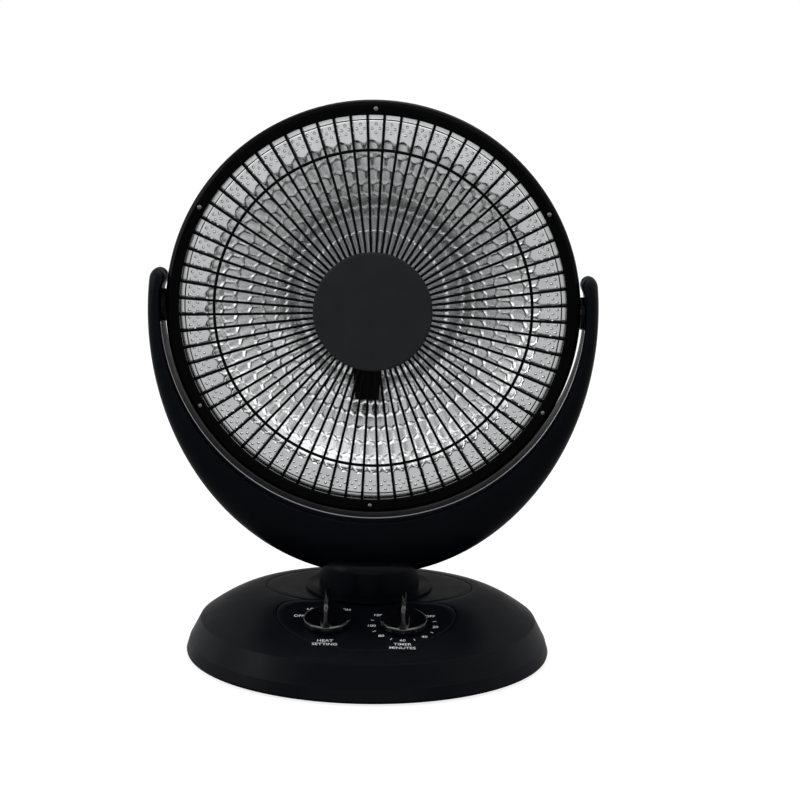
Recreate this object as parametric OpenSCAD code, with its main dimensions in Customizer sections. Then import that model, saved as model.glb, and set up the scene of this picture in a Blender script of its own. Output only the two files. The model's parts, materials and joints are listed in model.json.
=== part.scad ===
// Parabolic dish heater on an oval foot, with a crescent yoke that carries the tilting head.
// The origin is on the floor under the middle of the foot, the front faces -Y and +Z is up.

/* [Foot] */
// Width of the foot at its rim
foot_w = 317; // [290:1:350]
// Depth of the foot at its rim
foot_d = 287; // [265:1:310]
// Height of the upright skirt above the floor
skirt_h = 13.5; // [10:0.5:18]
// How far the skirt leans in
skirt_lean = 2.7; // [1:0.1:5]
// Height of the edge where the bevel meets the dome
dome_edge_h = 31; // [27:0.5:36]
// How far that edge lies inside the rim
dome_edge_inset = 12; // [9:0.5:16]
// Height of the flat top of the foot
foot_top_h = 54; // [50:0.5:60]
// Wall of the moulded foot
foot_wall = 2.6; // [2:0.1:3.5]
// Width of the oval cover round the neck
cover_w = 182; // [160:1:200]
// Depth of the oval cover
cover_d = 114; // [112:1:130]
// Thickness of the oval cover
cover_t = 3; // [2.5:0.1:4]
// How far the neck stands behind the middle of the foot
neck_set_back = 15; // [5:1:25]
// Height of a rubber foot pad
pad_h = 2; // [1.5:0.1:4]
// Diameter of a rubber foot pad
pad_d = 18; // [12:1:24]
// Thickness of the bottom plate
bottom_t = 2.5; // [2:0.1:4]

/* [Control panel] */
// Slope of the control panel
panel_tilt = 11; // [8:0.5:13]
// Distance of the panel's low edge from the foot's rim
panel_inset = 22.5; // [20:0.5:26]
// How far the panel's low edge lies under the top of the foot
panel_drop = 17.4; // [16:0.1:19]
// Thickness of the panel
panel_t = 3; // [2.5:0.1:3.5]
// Distance between the two knobs
knob_spacing = 64; // [58:1:72]
// Distance of the knobs in front of the neck's axis
knob_reach = 86; // [82:0.5:92]
// Diameter of a knob's disc
knob_d = 40; // [34:1:44]
// Thickness of a knob's disc
knob_disc_t = 6.5; // [5:0.5:9]
// Height of the finger grip above the disc
grip_h = 16; // [12:0.5:20]
// Thickness of the finger grip at its top
grip_t = 4.6; // [3.5:0.1:7]
// Diameter of a control spindle
spindle_d = 6; // [5:0.1:8]

/* [Neck and yoke] */
// Diameter of the neck
neck_d = 88; // [80:1:96]
// Height of the neck above the top of the foot
neck_h = 30; // [26:0.5:36]
// How far the neck reaches up into the yoke
neck_in_yoke = 17; // [14:0.5:20]
// Rounding of the neck's shoulder
neck_round = 8; // [5:0.5:12]
// Diameter of the ridged collar disc
collar_d = 111; // [104:1:120]
// Thickness of the collar disc
collar_t = 2; // [1.6:0.1:3]
// Diameter of the hollow column that turns in the foot
column_d = 28; // [24:1:30]
// Width of an arm beside the tilt axis
arm_w = 12; // [10:0.5:18]
// Thickness of the crescent under the head
crescent_t = 52.5; // [46:0.5:60]
// How far the middle of that outline lies under the tilt axis
yoke_drop = 5; // [0:1:12]
// Gap between the head and the yoke
yoke_gap = 4; // [3:0.1:6]
// Height of the arms above the tilt axis
arm_rise = 32; // [24:1:40]
// How far the heads of the arms swell towards the ring
arm_swell = 2.3; // [0:0.1:2.5]
// Depth of the yoke at its arms
arm_depth = 34; // [28:1:44]
// Depth of the yoke at the neck
yoke_depth = 66; // [56:1:80]

/* [Head] */
// Diameter of the head
head_d = 355; // [330:1:356]
// Width of the bezel's front
bezel_w = 12; // [10:0.5:14]
// Depth of the bezel in front of the tilt axis
bezel_front = 14; // [12:0.5:18]
// Thickness of the bezel's front wall
bezel_wall = 4; // [3:0.1:5]
// Depth of the head behind the tilt axis
head_rear = 84; // [80:1:100]
// Wall of the rear housing
housing_wall = 2.4; // [2:0.1:4]
// Number of vents in the rear housing
vent_count = 30; // [12:2:40]
// Width of a vent
vent_w = 5; // [3:0.5:7]
// Width of the dish's plain rim
dish_rim_w = 11; // [9:0.5:16]
// Width of the dish's dimpled flange
flange_w = 18.5; // [14:0.5:24]
// Depth of the dish's bowl
bowl_depth = 45; // [40:0.5:50]
// Thickness of the dish's sheet
dish_t = 0.8; // [0.6:0.1:1.2]

/* [Guard] */
// Number of radial guard wires
wire_count = 72; // [48:12:84]
// Diameter of a radial wire
wire_d = 2.3; // [1.8:0.1:2.8]
// Diameter of the wire of the guard's rings
ring_wire_d = 2.6; // [2:0.1:3]
// Distance of the guard's middle ring from the head's edge
mid_ring_inset = 41.5; // [34:0.5:52]
// Diameter of the hub disc
hub_d = 102; // [90:1:110]
// How far the wires bow forward from the rim to the hub
guard_bow = 8.5; // [5:0.5:12]

/* [Element] */
// Length of the ceramic core
core_len = 38; // [34:1:42]
// Diameter of the core at its root
core_root_d = 24; // [20:0.5:28]
// Diameter of the core at its tip
core_tip_d = 17; // [14:0.5:20]
// Number of turns of the heating wire
coil_turns = 9; // [6:1:10]
// Diameter of the curled heating wire
coil_wire_d = 2; // [1.5:0.1:2.4]

/* [Works in the foot] */
// Distance between the swing lever's end and the cord gland
lever_gap = 4.7; // [2:0.1:8]
// Diameter of the crank pin
crank_pin_d = 5; // [4:0.1:6]
// Travel of the tip-over plunger
plunger_travel = 6; // [4:0.5:8]
// Diameter of the tip-over plunger
plunger_d = 8; // [6:0.5:10]

/* [Hidden] */
$fn = 96;

// Clearances
slip = 0.3;
running = 0.05;

// Places of the main axes
pivot_y = neck_set_back;
head_r = head_d / 2;
yoke_inner_r = head_r + yoke_gap;
yoke_half_w = yoke_inner_r + arm_w;
yoke_half_h = yoke_inner_r + crescent_t - yoke_drop;
neck_top_h = foot_top_h + neck_h;
pivot_h = neck_top_h - neck_in_yoke + crescent_t + yoke_inner_r;
bush_outer_r = 14;
bush_neck_r = 8;
pin_r = 3.2;
pin_root = head_r - 16;
pin_end = yoke_inner_r + 7;

// Foot
loft_sides = 72;
rim_a = foot_w / 2;
rim_b = foot_d / 2;
rim_bottom_h = pad_h - 0.2;
edge_a = rim_a - dome_edge_inset;
edge_b = rim_b - dome_edge_inset;
cover_a = cover_w / 2;
cover_b = cover_d / 2;
dome_steps = 6;
ledge_w = 7;
ledge_t = 2.5;
bottom_z = pad_h;
plate_inset = foot_wall + 1 + skirt_lean / 3;
bottom_top = bottom_z + bottom_t;

// Bearing of the neck
column_r = column_d / 2;
bush_wall = 5;
bush_flange_w = 12;
bush_flange_t = 1.2;
boss_wall = 4;
bush_r = column_r + bush_wall;
bush_flange_r = column_r + bush_flange_w;
boss_r = bush_r + boss_wall;
boss_bottom = 30;
collar_z = foot_top_h + slip;
neck_z = collar_z + collar_t;
column_bottom = 20;
lever_z = 21;
lever_t = 3;

// Panel
panel_front = rim_b - panel_inset;
panel_low_h = foot_top_h - panel_drop;
knob_up_slope = (panel_front + neck_set_back - knob_reach) / cos(panel_tilt);
knob_gap = 0.5;
switch_h = 17;

// Head, measured from the tilt axis
bezel_back = -bezel_front + bezel_wall;
side_wall = 3;
flange_y = -bezel_front + 8.3;
rim_y = flange_y + 1.5;
dish_rim_r = head_r - 4.5;
flange_r = dish_rim_r - dish_rim_w;
bowl_r = flange_r - flange_w;
dish_hole_w = 3;
dish_hole_r = core_root_d / 2 + dish_hole_w;
bowl_bottom_y = flange_y + bowl_depth;

// Guard, as an arc of a very large circle seen from the side
guard_rim_r = dish_rim_r - 2;
hub_r = hub_d / 2;
wire_root_r = hub_r - 6;
guard_rim_y = rim_y - ring_wire_d - wire_d / 2 - 0.1;
guard_arc_r = (pow(guard_rim_r, 2) - pow(wire_root_r, 2)) / (2 * guard_bow);

function wire_y(r) = guard_rim_y - (pow(guard_rim_r, 2) - pow(r, 2)) / (2 * guard_arc_r);

hub_back_y = wire_y(wire_root_r) - wire_d / 2 - 0.15;
hub_t = 3;

// ---------------------------------------------------------------- shared shapes

// One ring of points on an ellipse in a level plane
function oval_ring(a, b, y, z, n = loft_sides) =
    [for (i = [0:n - 1]) [a * cos(360 * i / n), y + b * sin(360 * i / n), z]];

function oval_outline(a, b, n = loft_sides) =
    [for (i = [0:n - 1]) [a * cos(360 * i / n), b * sin(360 * i / n)]];

function flatten(lists) = [for (l = lists) for (p = l) p];

// Skin between rings that follow each other, turned outwards when each ring runs
// counter-clockwise and the rings go up
function skin(count, n) = [
    for (k = [0:count - 2])
    for (i = [0:n - 1])
    each [
        [k * n + i, (k + 1) * n + i, (k + 1) * n + (i + 1) % n],
        [k * n + i, (k + 1) * n + (i + 1) % n, k * n + (i + 1) % n]
    ]
];

// A solid through rings, with flat ends
module capped_loft(rings) {
    n = len(rings[0]);
    m = len(rings);
    bottom = [[for (i = [0:n - 1]) i]];
    top = [[for (i = [n - 1:-1:0]) (m - 1) * n + i]];
    polyhedron(flatten(rings), concat(skin(m, n), bottom, top), convexity = 8);
}

// A ring-shaped solid through rings, whose last ring joins the first one
module closed_loft(rings) {
    n = len(rings[0]);
    m = len(rings);
    joint = [
        for (i = [0:n - 1])
        each [
            [(m - 1) * n + i, i, (i + 1) % n],
            [(m - 1) * n + i, (i + 1) % n, (m - 1) * n + (i + 1) % n]
        ]
    ];
    polyhedron(flatten(rings), concat(skin(m, n), joint), convexity = 8);
}

// A round tube along points, with sides that lie square to the path
module tube_along(path, r, sides = 6) {
    m = len(path);
    function ahead(k) = path[min(k + 1, m - 1)] - path[max(k - 1, 0)];
    rings = [
        for (k = [0:m - 1])
        let (d = ahead(k) / norm(ahead(k)))
        let (u0 = cross(d, [0, 1, 0.001]))
        let (u = u0 / norm(u0))
        let (v = cross(d, u))
        [for (i = [0:sides - 1]) path[k] + r * (u * cos(360 * i / sides) + v * sin(360 * i / sides))]
    ];
    capped_loft([for (k = [m - 1:-1:0]) rings[k]]);
}

// Places children at both ends of the tilt axis, with Z pointing outwards
module at_pivots() {
    for (side = [-1, 1])
        translate([0, pivot_y, pivot_h]) rotate([0, 90 * side, 0]) children();
}

// Turns children about the head's own axis, so that Z points to the rear
module at_head() {
    translate([0, pivot_y, pivot_h]) rotate([-90, 0, 0]) children();
}

// Frame of the control panel: X across, Y up the slope, Z out of its face
module at_panel() {
    translate([0, -panel_front, panel_low_h]) rotate([panel_tilt, 0, 0]) children();
}

// Everything above a plane that lies under the panel's face
module above_panel(depth) {
    at_panel() translate([-foot_w, -foot_d, -depth]) cube([2 * foot_w, 2 * foot_d, foot_top_h]);
}

module at_neck() {
    translate([0, neck_set_back, 0]) children();
}

// ---------------------------------------------------------------- foot

function dome_h(s, drop = 0) =
    foot_top_h - drop - (foot_top_h - dome_edge_h) * pow(1 - s, 1.75);

function dome_ring(s, inset = 0, drop = 0) = oval_ring(
    edge_a + (cover_a - edge_a) * s - inset,
    edge_b + (cover_b - edge_b) * s - inset,
    neck_set_back * s,
    dome_h(s, drop)
);

dome_rings = [for (k = [0:dome_steps]) dome_ring(k / dome_steps)];

skirt_rings = [
    oval_ring(rim_a - 1, rim_b - 1, 0, rim_bottom_h),
    oval_ring(rim_a, rim_b, 0, rim_bottom_h + 2.2),
    oval_ring(rim_a - skirt_lean, rim_b - skirt_lean, 0, skirt_h),
    oval_ring(rim_a - skirt_lean - 0.7, rim_b - skirt_lean - 0.7, 0, skirt_h + 0.5)
];

// The wall's inner side, from the ledge under the cover down to the rim
inner_rings = [
    dome_ring(0.9, foot_wall, foot_wall),
    dome_ring(0.6, foot_wall, foot_wall),
    dome_ring(0.3, foot_wall, foot_wall),
    oval_ring(edge_a - foot_wall, edge_b - foot_wall, 0, dome_edge_h - foot_wall / 2),
    oval_ring(rim_a - skirt_lean - foot_wall, rim_b - skirt_lean - foot_wall, 0, skirt_h),
    oval_ring(rim_a - 1 - foot_wall, rim_b - 1 - foot_wall, 0, rim_bottom_h)
];

ledge_rings = [
    oval_ring(cover_a, cover_b, neck_set_back, foot_top_h - cover_t),
    oval_ring(cover_a - ledge_w, cover_b - ledge_w, neck_set_back, foot_top_h - cover_t),
    oval_ring(cover_a - ledge_w, cover_b - ledge_w, neck_set_back, foot_top_h - cover_t - ledge_t)
];

screw_x = rim_a * 0.73;
screw_y = rim_b * 0.42;
base_screw_d = 3.2;
base_screw_hole_d = 3.4;
base_screw_head_d = 6.5;
base_screw_head_t = 1;
base_screw_len = 14;
screw_boss_d = 10;
gland_z = (skirt_h + dome_edge_h) / 2 - 2;
gland_r = 7;
gland_bore_r = 3.6;
gland_len = 15;
gland_inside = 8;
gland_flange_w = 2.5;
gland_flange_t = 3;
gland_y = rim_b - dome_edge_inset * 0.85;
gland_front = gland_y - gland_inside - 2;

// The inside of the foot, up to the middle of its wall
inside_rings = concat(
    [oval_ring(edge_a - foot_wall / 2, edge_b - foot_wall / 2, 0, rim_bottom_h)],
    [for (k = [0:dome_steps - 1]) dome_ring(k / dome_steps, foot_wall / 2, foot_wall / 2)]
);

module base_shell() {
    color([0.05, 0.05, 0.06]) difference() {
        union() {
            closed_loft(concat(skirt_rings, dome_rings, ledge_rings, inner_rings));
            intersection() {
                capped_loft(inside_rings);
                for (x = [-screw_x, screw_x])
                    for (y = [-screw_y, screw_y])
                        translate([x, y, bottom_top]) cylinder(d = screw_boss_d, h = foot_top_h);
            }
        }
        above_panel(panel_t);
        for (x = [-screw_x, screw_x])
            for (y = [-screw_y, screw_y])
                translate([x, y, 0]) cylinder(d = base_screw_hole_d, h = dome_edge_h - 8);
        translate([0, gland_y - 2 * gland_len, gland_z]) rotate([-90, 0, 0])
            cylinder(r = gland_r, h = 4 * gland_len);
    }
}

module control_panel() {
    color([0.03, 0.03, 0.035]) difference() {
        intersection() {
            capped_loft(concat(skirt_rings, dome_rings));
            at_panel() translate([-rim_a, -foot_d, -panel_t]) cube([foot_w, 3 * foot_d, panel_t]);
        }
        for (side = [-1, 1])
            at_panel() translate([side * knob_spacing / 2, knob_up_slope, -2 * panel_t])
                cylinder(r = spindle_d / 2 + 1.5, h = 4 * panel_t);
    }
}

module top_cover() {
    color([0.07, 0.07, 0.08]) at_neck() difference() {
        union() {
            translate([0, 0, foot_top_h - cover_t]) linear_extrude(cover_t)
                polygon(oval_outline(cover_a - 0.15, cover_b - 0.15));
            translate([0, 0, boss_bottom]) cylinder(r = boss_r, h = foot_top_h - boss_bottom - 0.5);
        }
        translate([0, -neck_set_back, 0]) above_panel(panel_t);
        cylinder(r = bush_r, h = 2 * foot_top_h);
    }
}

module bearing_bush() {
    color([0.85, 0.84, 0.78]) at_neck() difference() {
        union() {
            translate([0, 0, boss_bottom]) cylinder(r = bush_r, h = foot_top_h - boss_bottom);
            translate([0, 0, foot_top_h]) cylinder(r = bush_flange_r, h = bush_flange_t);
        }
        cylinder(r = column_r + running, h = 2 * foot_top_h);
    }
}

plunger_x = -rim_a * 0.6;
plunger_y = rim_b * 0.25;

// Slots in the bottom plate, under the drive motor
floor_vent_pairs = 5;
floor_vent_pitch = 9;
floor_vent_w = 4;
floor_vent_len = 28;

module bottom_plate() {
    color([0.08, 0.08, 0.09]) difference() {
        translate([0, 0, bottom_z]) linear_extrude(bottom_t)
            polygon(oval_outline(rim_a - plate_inset, rim_b - plate_inset));
        for (x = [-screw_x, screw_x])
            for (y = [-screw_y, screw_y])
                translate([x, y, 0]) cylinder(d = base_screw_hole_d, h = 20);
        translate([plunger_x, plunger_y, 0]) cylinder(r = plunger_d / 2 + 0.5, h = 20);
        for (k = [-floor_vent_pairs:floor_vent_pairs])
            translate([k * floor_vent_pitch - floor_vent_w / 2, rim_b * 0.45, 0])
                cube([floor_vent_w, floor_vent_len, 20]);
    }
}

pad_x = rim_a * 0.66;
pad_y = rim_b * 0.6;

module rubber_feet() {
    color([0.1, 0.1, 0.1])
        for (x = [-pad_x, pad_x])
            for (y = [-pad_y, pad_y])
                translate([x, y, 0]) cylinder(d = pad_d, h = pad_h);
}

module base_screws() {
    color([0.6, 0.6, 0.62])
        for (x = [-screw_x, screw_x])
            for (y = [-screw_y, screw_y])
                translate([x, y, bottom_z - base_screw_head_t]) union() {
                    cylinder(d = base_screw_head_d, h = base_screw_head_t);
                    cylinder(d = base_screw_d, h = base_screw_len);
                }
}

weight_t = 7;
weight_neck_r = 46;
weight_motor_gap = 16;
weight_screw_r = 7;
weight_switch_room = 36;

module counterweight() {
    color([0.25, 0.25, 0.26]) translate([0, 0, bottom_top]) difference() {
        linear_extrude(weight_t) polygon(oval_outline(rim_a * 0.8, rim_b * 0.68));
        translate([0, neck_set_back, -1]) cylinder(r = weight_neck_r, h = 2 * weight_t);
        translate([-rim_a, crank_y - motor_d / 2 - weight_motor_gap, -1])
            cube([2 * rim_a, rim_b, 2 * weight_t]);
        translate([-rim_a, plunger_y - weight_switch_room / 2, -1])
            cube([rim_a * 0.58, weight_switch_room, 2 * weight_t]);
        for (x = [-screw_x, screw_x])
            for (y = [-screw_y, screw_y])
                translate([x, y, -1]) cylinder(r = weight_screw_r, h = 2 * weight_t);
    }
}

module cord_gland() {
    color([0.06, 0.06, 0.06]) translate([0, gland_y, gland_z]) rotate([-90, 0, 0]) difference() {
        union() {
            translate([0, 0, -gland_inside]) cylinder(r = gland_r, h = gland_len);
            translate([0, 0, gland_front - gland_y])
                cylinder(r = gland_r + gland_flange_w, h = gland_flange_t);
        }
        translate([0, 0, -gland_len - 5]) cylinder(r = gland_bore_r, h = 4 * gland_len);
    }
}

terminal_x = 46;
terminal_pitch = 12;
terminal_count = 3;
terminal_w = 16;
terminal_hole_d = 5;

module terminal_block() {
    color([0.8, 0.8, 0.76]) translate([terminal_x, rim_b * 0.6, bottom_top]) difference() {
        translate([0, -terminal_w / 2, 0]) cube([terminal_count * terminal_pitch, terminal_w, 12]);
        for (k = [0:terminal_count - 1])
            translate([terminal_pitch * (k + 0.5), 0, 4]) cylinder(d = terminal_hole_d, h = 20);
    }
}

// ---------------------------------------------------------------- controls

heat_switch_w = 26;
timer_unit_d = 44;
switch_floor = 3;

module heat_switch() {
    color([0.75, 0.73, 0.68]) at_panel() translate([-knob_spacing / 2, knob_up_slope, 0]) difference() {
        translate([-heat_switch_w / 2, -heat_switch_w / 2, -panel_t - switch_h])
            cube([heat_switch_w, heat_switch_w, switch_h]);
        translate([0, 0, -panel_t - switch_h + switch_floor])
            cylinder(r = spindle_d / 2 + running, h = switch_h + 20);
    }
}

module timer_unit() {
    color([0.7, 0.7, 0.72]) at_panel() translate([knob_spacing / 2, knob_up_slope, 0]) difference() {
        translate([0, 0, -panel_t - switch_h]) cylinder(d = timer_unit_d, h = switch_h);
        translate([0, 0, -panel_t - switch_h + switch_floor])
            cylinder(r = spindle_d / 2 + running, h = switch_h + 20);
    }
}

// Spindle, from the bottom of its switch into the knob
module spindle() {
    foot = switch_floor + slip;
    translate([0, 0, foot - panel_t - switch_h])
        cylinder(d = spindle_d, h = panel_t + switch_h - foot + knob_gap + knob_disc_t);
}

// A disc with a tall tapered finger grip across it
module knob() {
    grip_len = knob_d - 1;
    grip_top = knob_disc_t + grip_h;
    translate([0, 0, knob_gap]) difference() {
        union() {
            rotate_extrude() polygon([
                [0, 0], [knob_d / 2 - 0.6, 0], [knob_d / 2, 0.8], [knob_d / 2, knob_disc_t - 2],
                [knob_d / 2 - 0.8, knob_disc_t - 0.7], [knob_d / 2 - 2.2, knob_disc_t], [0, knob_disc_t]
            ]);
            intersection() {
                rotate([90, 0, 0]) linear_extrude(grip_len, center = true) polygon([
                    [-grip_t * 1.1, knob_disc_t - 1], [grip_t * 1.1, knob_disc_t - 1],
                    [grip_t * 0.72, knob_disc_t + 5], [grip_t / 2, grip_top - 1.2],
                    [grip_t / 2 - 1, grip_top], [1 - grip_t / 2, grip_top],
                    [-grip_t / 2, grip_top - 1.2], [-grip_t * 0.72, knob_disc_t + 5]
                ]);
                rotate([90, 0, 90]) linear_extrude(knob_d, center = true) polygon([
                    [-grip_len / 2, 0], [grip_len / 2, 0], [grip_len / 2, knob_disc_t + 1],
                    [grip_len / 2 - 2.5, grip_top - 4], [grip_len / 2 - 5, grip_top - 0.8],
                    [grip_len / 2 - 9, grip_top], [9 - grip_len / 2, grip_top],
                    [5 - grip_len / 2, grip_top - 0.8], [2.5 - grip_len / 2, grip_top - 4],
                    [-grip_len / 2, knob_disc_t + 1]
                ]);
            }
        }
        translate([0, 0, -1]) cylinder(d = spindle_d, h = knob_disc_t + 1);
    }
}

module heat_knob() {
    color([0.02, 0.02, 0.02]) at_panel() translate([-knob_spacing / 2, knob_up_slope, 0]) knob();
}

module timer_knob() {
    color([0.02, 0.02, 0.02]) at_panel() translate([knob_spacing / 2, knob_up_slope, 0]) knob();
}

module heat_spindle() {
    color([0.75, 0.75, 0.75]) at_panel() translate([-knob_spacing / 2, knob_up_slope, 0]) spindle();
}

module timer_spindle() {
    color([0.75, 0.75, 0.75]) at_panel() translate([knob_spacing / 2, knob_up_slope, 0]) spindle();
}

// ---------------------------------------------------------------- tip-over switch

tip_body_h = 23;
tip_body_w = 22;
tip_body_d = 18;

module at_plunger() {
    translate([plunger_x, plunger_y, 0]) children();
}

module tip_switch() {
    color([0.7, 0.68, 0.6]) at_plunger() difference() {
        translate([-tip_body_w / 2, -tip_body_d / 2, bottom_top])
            cube([tip_body_w, tip_body_d, tip_body_h]);
        cylinder(r = plunger_d / 2 + running, h = bottom_top + tip_body_h - 3);
    }
}

plunger_guide = 3;
plunger_top = bottom_top + plunger_travel + plunger_guide;
spring_top = bottom_top + tip_body_h - 3;
spring_turns = 5;
spring_wire_d = 0.8;

module tip_plunger() {
    color([0.9, 0.9, 0.86]) at_plunger() cylinder(d = plunger_d, h = plunger_top);
}

module tip_spring() {
    r = plunger_d / 2 - 1;
    h = spring_top - plunger_top - spring_wire_d - 0.1;
    steps = 12;
    color([0.7, 0.7, 0.72]) at_plunger() tube_along(
        [
            for (k = [0:spring_turns * steps])
            [
                r * cos(360 * k / steps),
                r * sin(360 * k / steps),
                plunger_top + spring_wire_d / 2 + 0.05 + h * k / (spring_turns * steps)
            ]
        ],
        spring_wire_d / 2, 6
    );
}

// ---------------------------------------------------------------- swing drive

// The slot of the swing lever reaches from the column's rim to the lever's end, with play
// for the crank pin, and the crank turns in the middle of it
slot_play = 2.1;
slot_r = crank_pin_d / 2 + slot_play;
lever_rim = 4;
lever_web = 2.4;
slot_near = column_r + lever_web + slot_r;
slot_far = gland_front - neck_set_back - lever_gap - lever_rim - slot_r;
crank_distance = (slot_near + slot_far) / 2;
crank_throw = (slot_far - slot_near) / 2 - 1;
crank_y = neck_set_back + crank_distance;
crank_arm_t = 3;
crank_arm_z = column_bottom - 1 - crank_arm_t;
crank_shaft_r = 3;
crank_hub_r = 8;
crank_arm_w = 10;
motor_d = 50;

module drive_motor() {
    color([0.6, 0.6, 0.63]) translate([0, crank_y, 0]) difference() {
        translate([0, 0, bottom_top]) cylinder(d = motor_d, h = crank_arm_z - bottom_top - slip);
        translate([0, 0, bottom_top + 2]) cylinder(r = crank_shaft_r + running, h = 20);
    }
}

// Crank arm on the motor's shaft, whose pin runs in the slot of the swing lever
module drive_crank() {
    color([0.85, 0.85, 0.8]) translate([0, crank_y, 0]) union() {
        translate([0, 0, bottom_top + 2.3]) cylinder(r = crank_shaft_r, h = crank_arm_z - bottom_top);
        translate([0, 0, crank_arm_z]) cylinder(r = crank_hub_r, h = crank_arm_t);
        translate([-crank_arm_w / 2, 0, crank_arm_z]) cube([crank_arm_w, crank_throw, crank_arm_t]);
        translate([0, crank_throw, crank_arm_z]) cylinder(d = crank_arm_w, h = crank_arm_t);
        translate([0, crank_throw, crank_arm_z]) cylinder(d = crank_pin_d, h = crank_arm_t + lever_t + 3);
    }
}

// Lever clamped on the column, with a radial slot for the crank pin
module swing_lever() {
    color([0.7, 0.7, 0.72]) translate([0, neck_set_back, lever_z]) difference() {
        union() {
            cylinder(r = column_r + lever_rim, h = lever_t);
            translate([-slot_r - lever_rim, 0, 0]) cube([2 * (slot_r + lever_rim), slot_far, lever_t]);
            translate([0, slot_far, 0]) cylinder(r = slot_r + lever_rim, h = lever_t);
        }
        translate([0, 0, -1]) cylinder(r = column_r, h = lever_t + 2);
        translate([-slot_r, slot_near, -1]) cube([2 * slot_r, slot_far - slot_near, lever_t + 2]);
        translate([0, slot_near, -1]) cylinder(r = slot_r, h = lever_t + 2);
        translate([0, slot_far, -1]) cylinder(r = slot_r, h = lever_t + 2);
    }
}

// ---------------------------------------------------------------- neck

column_wall = 3;
column_top = neck_top_h - 6;
clip_t = 1.5;
clip_z = boss_bottom - clip_t - 0.4;
clip_w = 3.5;
clip_gap = 10;
groove_depth = 1;

module column() {
    color([0.7, 0.7, 0.72]) at_neck() difference() {
        translate([0, 0, column_bottom]) cylinder(r = column_r, h = column_top - column_bottom);
        cylinder(r = column_r - column_wall, h = neck_top_h);
        translate([0, 0, clip_z]) difference() {
            cylinder(r = column_r + 1, h = clip_t);
            translate([0, 0, -1]) cylinder(r = column_r - groove_depth, h = clip_t + 2);
        }
    }
}

module retaining_clip() {
    color([0.5, 0.5, 0.52]) at_neck() translate([0, 0, clip_z]) difference() {
        cylinder(r = column_r + clip_w, h = clip_t);
        translate([0, 0, -1]) cylinder(r = column_r - groove_depth, h = clip_t + 2);
        translate([-clip_gap / 2, -column_r - 10, -1]) cube([clip_gap, 20, clip_t + 2]);
    }
}

// Ridges on the collar disc
ridge_count = 5;
ridge_pitch = 1.8;
ridge_w = 1;
ridge_h = 0.3;
ridge_inset = 0.8;

module collar_disc() {
    color([0.06, 0.06, 0.07]) at_neck() translate([0, 0, collar_z]) difference() {
        union() {
            cylinder(d = collar_d, h = collar_t - ridge_h);
            for (k = [0:ridge_count - 1])
                let (ridge_r = collar_d / 2 - ridge_inset - ridge_pitch * k)
                    translate([0, 0, collar_t - ridge_h - 0.1]) difference() {
                        cylinder(r = ridge_r, h = ridge_h + 0.1);
                        translate([0, 0, -1]) cylinder(r = ridge_r - ridge_w, h = 2);
                    }
        }
        translate([0, 0, -1]) cylinder(r = bush_flange_r + 1, h = collar_t + 2);
    }
}

// The neck from a height up to its rounded shoulder
module neck_body(from) {
    neck_r = neck_d / 2;
    rotate_extrude() union() {
        translate([0, from]) square([neck_r, neck_top_h - neck_round - from]);
        translate([0, from]) square([neck_r - neck_round, neck_top_h - from]);
        translate([neck_r - neck_round, neck_top_h - neck_round]) circle(r = neck_round, $fn = 64);
    }
}

module neck() {
    color([0.05, 0.05, 0.06]) at_neck() difference() {
        neck_body(neck_z - ridge_h);
        translate([0, 0, neck_z - 1]) cylinder(r = column_r, h = column_top - neck_z + 1);
        cylinder(r = bush_flange_r + 0.5, h = foot_top_h + bush_flange_t + 0.3);
    }
}

// ---------------------------------------------------------------- yoke

// Distance from the tilt axis to the oval outline, along a ray that leans by angle a
// from straight down
function yoke_outer(a) =
    let (p = pow(sin(a) / yoke_half_w, 2) + pow(cos(a) / yoke_half_h, 2))
    let (q = -2 * yoke_drop * cos(a) / pow(yoke_half_h, 2))
    let (c = pow(yoke_drop / yoke_half_h, 2) - 1)
    (-q + sqrt(q * q - 4 * p * c)) / (2 * p);

// Distance from the tilt axis to the inner face, which swells inwards above the bushes
swell_start = 90 + asin((bush_outer_r + 1) / yoke_inner_r);
swell_angle = 2.4;

function yoke_inner(a) =
    yoke_inner_r - arm_swell * pow(max(0, min(1, (abs(a) - swell_start) / swell_angle)), 2);

yoke_end = 90 + asin(arm_rise / (yoke_inner_r + 6));
yoke_stations = 42;
swell_steps = 3;
section_steps = 8;

// Half depth of the yoke at angle a from straight down
function yoke_half_depth(a) =
    arm_depth / 2 + (yoke_depth - arm_depth) / 2 * pow(max(0, cos(a * 0.98)), 1.5);

// The end of an arm is rounded over this much of its length, as far as there is room
arm_round = 9;
arm_round_angle = min(arm_round / yoke_inner_r * 180 / PI, 0.8 * (yoke_end - swell_start));
arm_round_steps = 5;

function arm_fade(a) =
    let (to_end = (yoke_end - abs(a)) / arm_round_angle)
    to_end >= 1 ? 1 : sqrt(max(0.02, 1 - pow(1 - to_end, 2)));

// Angles of the yoke's sections, which lie closer together in the heads of the arms
straight_end = yoke_end - arm_round_angle;
round_angles = [
    for (k = [0:arm_round_steps - 1])
    yoke_end - arm_round_angle * (1 - cos(90 * k / arm_round_steps))
];
swell_angles = [
    for (k = [0:swell_steps - 1])
    straight_end - (straight_end - swell_start) * k / swell_steps
];
arm_angles = concat(round_angles, swell_angles);
yoke_angles = concat(
    [for (a = arm_angles) -a],
    [for (k = [0:yoke_stations]) -swell_start + 2 * swell_start * k / yoke_stations],
    [for (k = [len(arm_angles) - 1:-1:0]) arm_angles[k]]
);

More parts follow.
